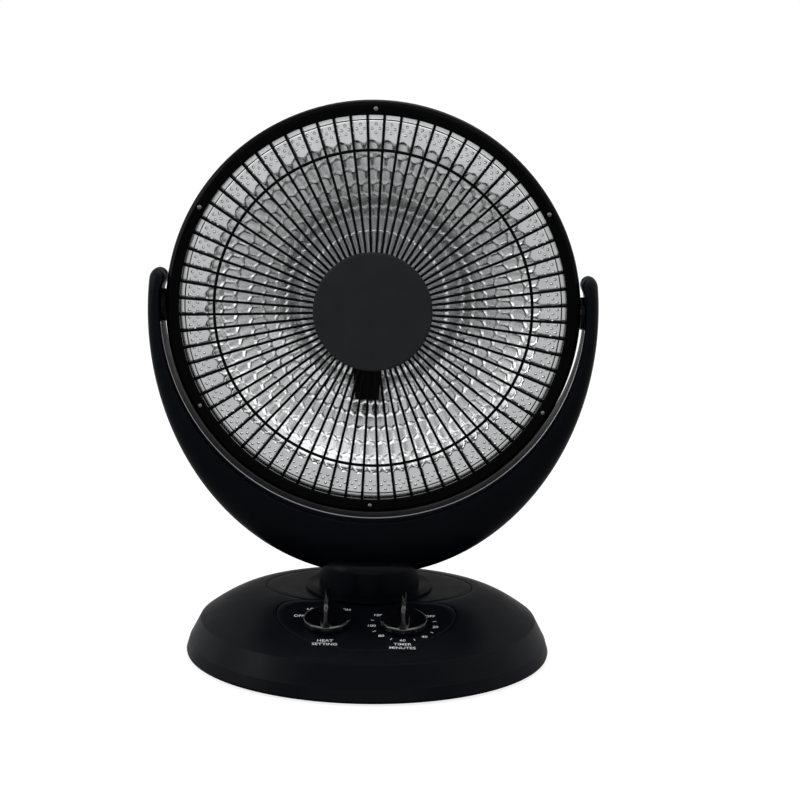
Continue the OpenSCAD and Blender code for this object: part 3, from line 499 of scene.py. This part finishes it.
def make_inset(name, start_y, reach, height, node):
    """A plate that fills an opening, its edge rolled down into the seam."""
    angles = round_angles(PLATE_SIDES)
    edge = reach(start_y, angles) - PLATE_GAP
    rings = []
    for inset, sink in PLATE_EDGE:
        r = edge - inset
        rings.append(plan_ring(start_y, angles, r, height(start_y + r * np.sin(angles)) - sink))
    edge_width = PLATE_EDGE[-1][0]
    for k in range(1, PLATE_RINGS):
        r = (edge - edge_width) * (1 - k / PLATE_RINGS)
        rings.append(plan_ring(start_y, angles, r, height(start_y + r * np.sin(angles))))
    verts, faces = skin(rings, cap_last=True)
    finish_with(new_object(name, verts, faces), "casing", "base", [node])


make_foot()
make_inset("panel_plate", PANEL_START, ray_to_panel_edge, panel_height, "control_panel")
make_inset("cover_plate", NECK_Y, ray_to_cover_edge, lambda y: np.full_like(y, TOP), "top_cover")


# ---------------------------------------------------------------- control panel

PANEL_FRAME = (
    Matrix.Translation((0, PANEL_FRONT * MM, PANEL_LOW * MM)) @ Matrix.Rotation(PANEL_TILT, 4, "X")
)
KNOB_X = 32
KNOB_UP = 50.936

DISC_SIDES = 96
# A dial's disc, as (distance from its axis, height over the panel, radius).
DISC = (
    (0.4, 0.5, 0), (19.6, 0.5, 0.4), (20, 1.2, 0.4), (19.8, 5.6, 1.0), (18.2, 6.3, 1.2), (9, 5.2, 4),
    (0.4, 5.2, 0),
)

GRIP_SIDES = 64
GRIP_RINGS = 25
GRIP_LOW = 4.6
GRIP_H = 20.4
GRIP_HALF_W = 2.1
GRIP_TAPER = 0.9
GRIP_SWEEP = 2.6
GRIP_HALF_L = 19.4
GRIP_LEAN = 1.2
GRIP_SHOULDER = 3.2
GRIP_SHOULDER_FROM = 0.72
GRIP_ROUND = 0.35
GRIP_ROUND_FROM = 0.9
GRIP_SIDE_POWER = 0.5
GRIP_END_POWER = 0.32
GRIP_CRISP_ANGLE = math.radians(50)

PRINT_LIFT = 0.05
PRINT_H = 0.02
TICK_LIFT = 0.06
TICK_HALF_W = 0.35
TICK_HALF_L = 1.5
SCALE_R = 27
MARK_SIZE = 5.0
MARK_BOLD = 0.02
WORD_SIZE = 5.4
WORD_BOLD = 0.03
TIMER_MARKS = ("OFF", None, "20", None, "40", None, "60", None, "80", None, "100", None, "120")
TIMER_FIRST = 35
TIMER_LAST = -215
HEAT_MARKS = ((155, "OFF"), (118, "LOW"), (62, "HIGH"))
# The words under the dials, as (text, x, distance down from the dials' middle).
TIMER_WORDS = (("TIMER", KNOB_X, 33.5), ("MINUTES", KNOB_X, 39.5))
HEAT_WORDS = (("HEAT", -KNOB_X, 30.0), ("SETTING", -KNOB_X, 35.8))


def on_panel(x, y, z=0.0):
    """The matrix that moves a form from the origin to a point of the panel's face."""
    return PANEL_FRAME @ Matrix.Translation((x * MM, y * MM, z * MM))


def knob_grip():
    """A dial's grip: its sides sweep out into the disc, and its upper end is rounded."""
    rings = []
    for k in range(GRIP_RINGS):
        t = k / (GRIP_RINGS - 1)
        z = GRIP_LOW + GRIP_H * t
        half_w = GRIP_HALF_W + GRIP_SWEEP * (1 - t) ** 6 + GRIP_TAPER * (1 - t)
        half_w *= 1 - GRIP_ROUND * max(0, t - GRIP_ROUND_FROM) / (1 - GRIP_ROUND_FROM)
        past_shoulder = max(0, t - GRIP_SHOULDER_FROM) / (1 - GRIP_SHOULDER_FROM)
        half_l = GRIP_HALF_L - GRIP_LEAN * t - GRIP_SHOULDER * past_shoulder ** 2
        a = round_angles(GRIP_SIDES)
        x = np.copysign(np.abs(np.cos(a)) ** GRIP_SIDE_POWER, np.cos(a)) * half_w
        y = np.copysign(np.abs(np.sin(a)) ** GRIP_END_POWER, np.sin(a)) * half_l
        rings.append(np.stack([x, y, np.full(GRIP_SIDES, z)], axis=-1))
    return rings


def make_knob(name, x, body, node):
    """A dial: a low disc and a tall grip across it."""
    a = round_angles(DISC_SIDES)
    disc = [
        np.stack([r * np.cos(a), r * np.sin(a), np.full(DISC_SIDES, z)], axis=-1)
        for r, z in fillet(DISC)
    ]
    verts, faces = [], []
    add_part(verts, faces, skin(disc, cap_first=True, cap_last=True))
    add_part(verts, faces, skin(knob_grip(), cap_last=True))
    knob = new_object(name, np.concatenate(verts) * MM, faces)
    knob.data.set_sharp_from_angle(angle=GRIP_CRISP_ANGLE)
    knob.data.transform(on_panel(x, KNOB_UP))
    finish_with(knob, "knobs", body, [node])


def words_mesh(words, x, y, size, bold):
    """Words printed on the panel, centred on (x, y) of its face."""
    curve = bpy.data.curves.new("words", "FONT")
    curve.body = words
    curve.align_x = "CENTER"
    curve.align_y = "CENTER"
    curve.size = size * MM
    curve.offset = bold * MM
    curve.extrude = PRINT_H * MM
    text = bpy.data.objects.new("words", curve)
    bpy.context.collection.objects.link(text)
    bpy.context.view_layer.update()
    shape = text.evaluated_get(bpy.context.evaluated_depsgraph_get())
    mesh = bpy.data.meshes.new_from_object(shape)
    bpy.data.objects.remove(text)
    mesh.transform(on_panel(x, y, PRINT_LIFT))
    return mesh


def tick_mesh(x, y, turn):
    """A short stroke printed on the panel."""
    corners = ((-1, -1), (1, -1), (1, 1), (-1, 1))
    verts = [Vector((side * TICK_HALF_W, end * TICK_HALF_L, TICK_LIFT)) * MM for side, end in corners]
    mesh = bpy.data.meshes.new("tick")
    mesh.from_pydata(verts, [], [(0, 1, 2, 3)])
    mesh.transform(on_panel(x, y) @ Matrix.Rotation(turn, 4, "Z"))
    return mesh


def join_meshes(name, meshes):
    """One flat-shaded piece in place of several meshes."""
    verts, faces = [], []
    for mesh in meshes:
        offset = len(verts)
        verts += [tuple(v.co) for v in mesh.vertices]
        faces += [tuple(i + offset for i in face.vertices) for face in mesh.polygons]
        bpy.data.meshes.remove(mesh)
    return new_object(name, verts, faces, smooth=False)


def mark_mesh(mark, dial_x, degrees):
    """One mark of a dial's scale: a word, or a stroke where there is none."""
    a = math.radians(degrees)
    x = dial_x + SCALE_R * math.cos(a)
    y = KNOB_UP + SCALE_R * math.sin(a)
    if mark:
        return words_mesh(mark, x, y, MARK_SIZE, MARK_BOLD)
    return tick_mesh(x, y, a - math.pi / 2)


def make_lettering():
    """The scales and words round the two dials."""
    step = (TIMER_LAST - TIMER_FIRST) / (len(TIMER_MARKS) - 1)
    timer = [mark_mesh(mark, KNOB_X, TIMER_FIRST + step * k) for k, mark in enumerate(TIMER_MARKS)]
    timer += [words_mesh(text, x, KNOB_UP - down, WORD_SIZE, WORD_BOLD) for text, x, down in TIMER_WORDS]
    heat = [words_mesh(text, x, KNOB_UP - down, WORD_SIZE, WORD_BOLD) for text, x, down in HEAT_WORDS]
    heat += [mark_mesh(mark, -KNOB_X, degrees) for degrees, mark in HEAT_MARKS]
    for name, meshes in (("timer_print", timer), ("heat_print", heat)):
        finish_with(join_meshes(name, meshes), "casing", "base", material="lettering")


make_knob("heat_dial_knob", -KNOB_X, "heat_dial", "heat_knob")
make_knob("timer_dial_knob", KNOB_X, "timer_dial", "timer_knob")
make_lettering()


# ---------------------------------------------------------------- yoke

# The outline is an ellipse that hangs a little below the tilt axis. Angles are from straight down.
YOKE_INNER = HEAD_R + 4
YOKE_HALF_W = 193.4
YOKE_HALF_H = 229
YOKE_DROP = 5
ARM_RISE = 32
ARM_HALF_THICK = 6
ARM_ROUND_L = 9
ARM_ROUND = ARM_ROUND_L / YOKE_INNER
YOKE_END = math.pi / 2 + math.asin(ARM_RISE / (YOKE_INNER + ARM_HALF_THICK))
YOKE_CRISP_ANGLE = math.radians(40)

# The arms swell inwards from just above the tilt axis.
SWELL = 2.3
SWELL_RISE = 15
SWELL_START = math.pi / 2 + math.asin(SWELL_RISE / YOKE_INNER)
SWELL_SPAN = math.radians(2.4)

# Each half's depth, from its seam, at the arms and at the neck.
ARM_DEPTH = 17
NECK_DEPTH = 33
DEPTH_SPREAD = 0.98
DEPTH_POWER = 1.5
END_DEPTH = 0.35

# The rounded face of a half's section runs through these powers of a sine and a cosine.
FACE_STEPS = 26
FACE_TURN = math.pi / 2 * 0.985
FACE_IN_POWER = 0.9
FACE_DEPTH_POWER = 0.62
INNER_ROUND = 1
SEAM_INSET = 0.35
SEAM_LIP = 0.4
SEAM_GAP = 0.05
YOKE_ROUND_STEPS = 10
YOKE_STEPS = 200

BEAD_R = 1.0
BEAD_GAP = 0.2
BEAD_FORWARD = 14
BEAD_END = math.radians(86)
BEAD_SIDES = 10
BEAD_STEPS = 220


def yoke_outer(a):
    """Distance from the tilt axis to the outline, at angle a."""
    p = (math.sin(a) / YOKE_HALF_W) ** 2 + (math.cos(a) / YOKE_HALF_H) ** 2
    q = -2 * YOKE_DROP * math.cos(a) / YOKE_HALF_H ** 2
    c = (YOKE_DROP / YOKE_HALF_H) ** 2 - 1
    return (-q + math.sqrt(q * q - 4 * p * c)) / (2 * p)


def yoke_ring(a, side):
    """One section of a yoke half: side is -1 for the front half and 1 for the rear one."""
    inner = YOKE_INNER - SWELL * max(0, min(1, (abs(a) - SWELL_START) / SWELL_SPAN))
    outer = yoke_outer(a)
    middle = (inner + outer) / 2
    to_end = (YOKE_END - abs(a)) / ARM_ROUND
    fade = 1 if to_end >= 1 else math.sqrt(max(0.0, 1 - (1 - to_end) ** 2))
    depth = ARM_DEPTH + (NECK_DEPTH - ARM_DEPTH) * max(0, math.cos(a * DEPTH_SPREAD)) ** DEPTH_POWER
    depth *= END_DEPTH + (1 - END_DEPTH) * fade
    low = middle - (middle - inner) * fade
    high = middle + (outer - middle) * fade
    section = [
        (low + SEAM_INSET, SEAM_GAP), (low, SEAM_LIP), (low, depth * 0.5), (low, depth * 0.8),
        (low + 0.2, depth * 0.9),
    ]
    for k in range(FACE_STEPS + 1):
        t = FACE_TURN * k / FACE_STEPS
        from_axis = low + INNER_ROUND + (high - low - INNER_ROUND) * math.sin(t) ** FACE_IN_POWER
        section.append((from_axis, depth * math.cos(t) ** FACE_DEPTH_POWER))
    section += [(high, SEAM_LIP), (high - SEAM_INSET, SEAM_GAP)]
    return [(math.sin(a) * from_axis, side * y, -math.cos(a) * from_axis) for from_axis, y in section]


def make_yoke_half(name, side, node):
    """A half of the yoke, its sections closer together where the arms' ends are rounded."""
    straight = YOKE_END - ARM_ROUND
    end = [
        YOKE_END - ARM_ROUND * (1 - math.cos(math.pi / 2 * k / YOKE_ROUND_STEPS))
        for k in range(YOKE_ROUND_STEPS)
    ]
    angles = [-a for a in end] + list(np.linspace(-straight, straight, YOKE_STEPS)) + end[::-1]
    rings = [yoke_ring(a, side) for a in angles]
    verts, faces = skin(rings, flip=side < 0, cap_first=True, cap_last=True)
    piece = on_head(name, verts, faces)
    piece.data.set_sharp_from_angle(angle=YOKE_CRISP_ANGLE)
    finish_with(piece, "casing", "yoke", [node])


def make_yoke_bead():
    """The polished bead inside the front half, level with the bezel's face."""
    around = round_angles(BEAD_SIDES)
    rings = []
    for a in np.linspace(-BEAD_END, BEAD_END, BEAD_STEPS):
        from_axis = YOKE_INNER + BEAD_GAP + BEAD_R * np.cos(around)
        y = BEAD_R * np.sin(around) - BEAD_FORWARD
        rings.append(np.stack([math.sin(a) * from_axis, y, -math.cos(a) * from_axis], axis=-1))
    verts, faces = skin(rings, cap_first=True, cap_last=True)
    finish_with(on_head("yoke_bead", verts, faces), "casing", "yoke", material="bead")


make_yoke_half("yoke_front", -1, "yoke_front_shell")
make_yoke_bead()
make_yoke_half("yoke_rear", 1, "yoke_rear_shell")


# ---------------------------------------------------------------- bezel and hub

BEZEL_SIDES = 320
BEZEL_INNER = HEAD_R - 12.2
# The bezel from its inner step round the front to its back, as (distance from the axis, y, radius).
BEZEL = (
    (BEZEL_INNER + 0.6, BEZEL_FACE + 4, 0), (BEZEL_INNER, BEZEL_FACE + 3.6, 0.3),
    (BEZEL_INNER, BEZEL_FACE + 1.2, 0.3), (BEZEL_INNER + 0.9, BEZEL_FACE, 0.6),
    (HEAD_R - 3.6, BEZEL_FACE, 1.2), (HEAD_R - 0.9, BEZEL_FACE + 1.8, 1.5), (HEAD_R, BEZEL_FACE + 6, 2),
    (HEAD_R, 0, 0.2), (HEAD_R - 3, 0, 0),
)

SCREWS = 6
SCREW_SIDES = 16
SCREW_R = HEAD_R - 7
SCREW_SINK = 0.3
# A screw's dome, as (distance from its axis, rise).
SCREW_DOME = ((2.1, 0.0), (1.95, 0.5), (1.6, 0.85), (1.1, 1.1), (0.55, 1.22), (0.02, 1.25))

HUB_SIDES = 200
# The hub's edge and crowned face, and the enamelled shield on its back, in the same terms.
HUB = (
    (HUB_R - 1.5, HUB_BACK, 0), (HUB_R, HUB_BACK, 0.4), (HUB_R, HUB_FACE + 1.0, 0.7),
    (HUB_R - 1.6, HUB_FACE + 0.25, 1.2), (HUB_R * 0.6, HUB_FACE + 0.08, 3), (0.02, HUB_FACE, 0),
)
HUB_SHIELD = (
    (0.3, HUB_BACK - 0.3, 0), (HUB_R - 2.5, HUB_BACK - 0.3, 0.5), (HUB_R - 0.8, HUB_BACK - 0.1, 0.4),
    (HUB_R - 0.4, HUB_BACK - 0.8, 0),
)


def make_bezel_screws():
    """The polished domes of the screws in the bezel."""
    dome = head_rings([(r, BEZEL_FACE + SCREW_SINK - rise) for r, rise in SCREW_DOME], SCREW_SIDES)
    verts, faces = [], []
    add_copies(verts, faces, dome + np.array([0, 0, SCREW_R]), round_angles(SCREWS))
    piece = on_head("bezel_screw_heads", np.concatenate(verts), faces)
    finish_with(piece, "dark_screws", "head", ["bezel_screws"])


finish_with(spin_head("bezel", fillet(BEZEL), BEZEL_SIDES, flip=True), "bezel", "head", ["bezel_ring"])
make_bezel_screws()
finish_with(spin_head("hub", fillet(HUB), HUB_SIDES), "hub", "head", ["hub_disc"])
finish_with(spin_head("hub_shield", fillet(HUB_SHIELD), HUB_SIDES), "hub", "head", material="shield")


# ---------------------------------------------------------------- reflector

FLANGE_Y = -5.7
FLANGE_R = 161
RIM_DROP = 1.5
# The flange out to the rim behind the bezel, as (distance from the axis, depth below its face).
FLANGE = (
    (146.4, 0), (148, 0), (154, 0), (FLANGE_R - 1.0, 0), (FLANGE_R - 0.3, 0), (FLANGE_R, 0.08),
    (FLANGE_R + 0.2, 0.5), (FLANGE_R + 0.4, 1.3), (FLANGE_R + 0.6, RIM_DROP),
    (FLANGE_R + 1.2, RIM_DROP), (167, RIM_DROP), (173.4, RIM_DROP),
)
SCALLOP_BORDER = 0.5

BOWL_R = 143.5
BOWL_DEPTH = 45
CELLS = 68
HALF_CELL = math.pi / CELLS
CELL_TURN = math.radians(-1.4)
SEAMS = (143.7, 130.8, 119.2, 107.3, 96.5, 85.9, 76.4, 64.5)
SEAM_SWING = 1.6
EDGE_STEPS = 4
EDGE_SLACK = 0.1
CELL_POWER = 3.6
BEVEL_SHARE = 0.165
BEVEL_SLOPE = 0.31
# The rings inside a cell's seam, as shares of its bevel's width and depth.
BEVEL = ((0.72, 0.84), (0.92, 0.98), (1.04, 1.0), (1.14, 1.0))

HOLE_R = 14.6
FLUTE_SIDES = 8
FLUTE_RINGS = 26
FLUTE_LIFT = 0.42
FLUTE_FULL_R = 60
FLUTE_FADE_OUT = 1.5
FLUTE_FADE_IN = 10

DOTS = 150
DOT_ROWS = (157.6, 154.0, 150.4)
DOT_SIDES = 8
# A dimple of the flange, as (distance from its axis, rise).
DOT_DOME = ((1.35, 0.0), (1.1, 0.3), (0.6, 0.68), (0.04, 0.8))


def bowl_y(r):
    """The plain form of the dish's front, at distance r from the axis."""
    return FLANGE_Y + BOWL_DEPTH * (1 - np.minimum(r / BOWL_R, 1) ** 2)


def on_dish(a, r, y):
    """Points at angle a, clockwise from the top as seen from the front."""
    a, r, y = np.broadcast_arrays(a, r, y)
    return np.stack([r * np.sin(a), y, r * np.cos(a)], axis=-1)


def staggered(count, row):
    """Angles in even steps, once round, moved on by half a step in every second row."""
    return (np.arange(count) + 0.5 * (row % 2)) * TAU / count


def seam_swing(seam):
    """How far a seam zigzags to each side: the innermost one is a plain circle."""
    return SEAM_SWING if seam < len(SEAMS) - 1 else 0.0


def cell_outline(row):
    """Corners of a cell's seams, as (angle from its middle, radius), with steps on each edge."""
    outer, inner = SEAMS[row], SEAMS[row + 1]
    out_swing, in_swing = seam_swing(row), seam_swing(row + 1)
    corners = [
        (0, outer + out_swing), (HALF_CELL, outer - out_swing), (HALF_CELL, inner + in_swing),
        (0, inner - in_swing), (-HALF_CELL, inner + in_swing), (-HALF_CELL, outer - out_swing),
    ]
    points = []
    for k, (a, r) in enumerate(corners):
        next_a, next_r = corners[(k + 1) % len(corners)]
        for step in range(EDGE_STEPS):
            t = step / EDGE_STEPS
            points.append((a + (next_a - a) * t, r + (next_r - r) * t))
    return np.array(points)


def cell_rings(row):
    """Rings of one cell at the top of the dish: seam, bevel, rounded shoulder and sunken flat."""
    outline = cell_outline(row)
    on_flange = outline[:, 1] > SEAMS[0] - SEAM_SWING - EDGE_SLACK
    seam_y = np.where(on_flange, FLANGE_Y, bowl_y(outline[:, 1]))
    seam = on_dish(outline[:, 0], outline[:, 1], seam_y)
    middle_r = (SEAMS[row] + SEAMS[row + 1]) / 2
    slope = 2 * BOWL_DEPTH * middle_r / BOWL_R ** 2
    along = np.array([0, -slope, 1]) / math.hypot(1, slope)
    across = np.array([1, 0, 0])
    facing = np.array([0, -1, -slope]) / math.hypot(1, slope)
    centre = on_dish(0, middle_r, bowl_y(middle_r))
    half_w = middle_r * HALF_CELL
    half_h = (SEAMS[row] - SEAMS[row + 1]) / 2 * math.hypot(1, slope)
    u = (seam - centre) @ across / half_w
    v = (seam - centre) @ along / half_h
    reach = np.hypot(u, v)
    turn = np.arctan2(v, u)
    rounded = np.abs(np.cos(turn)) ** CELL_POWER + np.abs(np.sin(turn)) ** CELL_POWER
    rounded = rounded ** (-1 / CELL_POWER)
    bevel_w = BEVEL_SHARE * 2 * half_w
    bevel_depth = BEVEL_SLOPE * bevel_w
    rings = [seam]
    for in_share, depth_share in BEVEL:
        inset = bevel_w * in_share
        size = reach + (rounded - reach) * min(1, in_share)
        ring_u = (half_w - inset) * size * np.cos(turn)
        ring_v = (half_h - inset) * size * np.sin(turn)
        flat = centre + np.outer(ring_u, across) + np.outer(ring_v, along)
        rings.append(flat - facing * bevel_depth * depth_share)
    return np.array(rings)


def reflector_centre(verts, faces):
    """Fine radial flutes from the element's hole to the innermost seam."""
    a = round_angles(CELLS * FLUTE_SIDES)
    rings = []
    for r in np.linspace(HOLE_R, SEAMS[-1], FLUTE_RINGS):
        fade = min(1, (SEAMS[-1] - r) / FLUTE_FADE_OUT, (r - HOLE_R) / FLUTE_FADE_IN)
        lift = FLUTE_LIFT * fade * (r / FLUTE_FULL_R) * (1 - np.cos(a * CELLS))
        rings.append(on_dish(a + CELL_TURN, r, bowl_y(r) - lift))
    add_part(verts, faces, skin(rings))


def reflector_cells(verts, faces):
    """Staggered rows of flat cells between the zigzag seams."""
    for row in range(len(SEAMS) - 1):
        add_copies(verts, faces, cell_rings(row), staggered(CELLS, row) + CELL_TURN)


def reflector_flange(verts, faces):
    """The flat flange, from the scalloped edge of the bowl to the plain rim."""
    a = round_angles(2 * EDGE_STEPS * CELLS)
    from_middle = np.abs(((a / (2 * HALF_CELL)) % 1) * 2 - 1)
    scallop = SEAMS[0] + SEAM_SWING * (2 * from_middle - 1)
    rings = [on_dish(a + CELL_TURN, scallop + border, FLANGE_Y) for border in (0, SCALLOP_BORDER)]
    rings += [on_dish(a, r, FLANGE_Y + drop) for r, drop in FLANGE]
    add_part(verts, faces, skin(rings))


def reflector_dots(verts, faces):
    """Three staggered rows of small dimples on the flange."""
    dome = head_rings([(r, FLANGE_Y - rise) for r, rise in DOT_DOME], DOT_SIDES)
    for row, dot_r in enumerate(DOT_ROWS):
        add_copies(verts, faces, dome + np.array([0, 0, dot_r]), staggered(DOTS, row))


def make_reflector():
    """The embossed dish: a fluted centre, rows of cells and a flange with dimples."""
    verts, faces = [], []
    reflector_centre(verts, faces)
    reflector_cells(verts, faces)
    reflector_flange(verts, faces)
    reflector_dots(verts, faces)
    finish_with(on_head("reflector", np.concatenate(verts), faces), "reflector", "head", ["reflector_dish"])


make_reflector()


# ---------------------------------------------------------------- studio

FLOOR_HALF = 30
FLOOR_GREY = (0.38, 0.38, 0.38, 1)
FLOOR_ROUGH = 0.9
# What the floor adds to its own colour, for the camera and for shiny pieces.
FLOOR_GLOW = 0.8
FLOOR_SHEEN = 0.22

WHITE = (1, 1, 1, 1)
BACKDROP = 1.0
WORLD_LIGHT = 0.5
# What shiny pieces mirror: levels by the cosine of the angle to GLOW_MIDDLE, which points forward from
# the head and a little down. The reflector mirrors these bright and dark bands.
GLOW_MIDDLE = Vector((0.0, -1, -0.14)).normalized()
GLOW = (
    (-0.95, 0.3), (-0.4, 1.4), (0.49, 1.5), (0.53, 0.64), (0.75, 0.64), (0.82, 1.5), (0.965, 1.5),
    (0.98, 0.68),
)


def add_area(name, place, target, size, power):
    """A rectangular lamp, turned to its target."""
    data = bpy.data.lights.new(name, "AREA")
    data.shape = "RECTANGLE"
    data.size, data.size_y = size
    data.energy = power
    lamp = bpy.data.objects.new(name, data)
    bpy.context.collection.objects.link(lamp)
    lamp.location = place
    lamp.rotation_euler = (Vector(target) - Vector(place)).to_track_quat("-Z", "Y").to_euler()


def add_floor():
    """A pale floor that keeps the heater's shadow and runs out into the white background."""
    corners = ((-1, -1), (1, -1), (1, 1), (-1, 1))
    verts = [(FLOOR_HALF * x, FLOOR_HALF * y, 0) for x, y in corners]
    floor = new_object("floor", verts, [(0, 1, 2, 3)], smooth=False)
    m = Nodes("floor")
    m.set("Base Color", FLOOR_GREY)
    m.set("Roughness", FLOOR_ROUGH)
    m.set("Emission Color", WHITE)
    path = m.tree.nodes.new("ShaderNodeLightPath")
    mirrored = math_node(m.tree, "MULTIPLY", path.outputs["Is Glossy Ray"], FLOOR_SHEEN)
    shows = math_node(m.tree, "MULTIPLY_ADD", path.outputs["Is Camera Ray"], FLOOR_GLOW, mirrored)
    m.tree.links.new(shows, m.shader.inputs["Emission Strength"])
    floor.data.materials.append(m.material)


def add_world():
    """A white backdrop for the camera, a soft light all round, and the bands that shiny pieces mirror."""
    world = bpy.data.worlds.new("studio")
    bpy.context.scene.world = world
    world.use_nodes = True
    tree = world.node_tree
    tree.nodes.clear()
    out = tree.nodes.new("ShaderNodeOutputWorld")

    def background(strength):
        node = tree.nodes.new("ShaderNodeBackground")
        node.inputs["Color"].default_value = WHITE
        node.inputs["Strength"].default_value = strength
        return node

    def mix(factor, first, second):
        node = tree.nodes.new("ShaderNodeMixShader")
        tree.links.new(factor, node.inputs["Fac"])
        tree.links.new(first.outputs[0], node.inputs[1])
        tree.links.new(second.outputs[0], node.inputs[2])
        return node

    direction = tree.nodes.new("ShaderNodeTexCoord")
    towards = tree.nodes.new("ShaderNodeVectorMath")
    towards.operation = "DOT_PRODUCT"
    towards.inputs[1].default_value = GLOW_MIDDLE
    tree.links.new(direction.outputs["Generated"], towards.inputs[0])
    cosine = towards.outputs["Value"]
    level = None
    for (start, low), (end, high) in zip(GLOW, GLOW[1:]):
        if level is None:
            level = map_range(tree, cosine, start, end, low, high)
        else:
            level = math_node(tree, "ADD", level, map_range(tree, cosine, start, end, 0, high - low))
    bands = background(BACKDROP)
    tree.links.new(level, bands.inputs["Strength"])
    path = tree.nodes.new("ShaderNodeLightPath")
    shiny = math_node(tree, "MAXIMUM", path.outputs["Is Glossy Ray"], path.outputs["Is Transmission Ray"])
    lights = mix(shiny, background(WORLD_LIGHT), bands)
    seen = mix(path.outputs["Is Camera Ray"], lights, background(BACKDROP))
    tree.links.new(seen.outputs[0], out.inputs["Surface"])


add_floor()
add_world()
add_area("key_box", place=(0.64, -0.83, 1.55), target=(0, 0, 0.3), size=(1.2, 0.7), power=1.5)
add_area("left_box", place=(-1.8, -0.6, 0.9), target=(0, 0, 0.3), size=(0.5, 1.2), power=7)
add_area("top_box", place=(0, 0.3, 2.0), target=(0, 0, 0.2), size=(1.6, 1.0), power=9)
bpy.context.scene.view_settings.view_transform = "Standard"
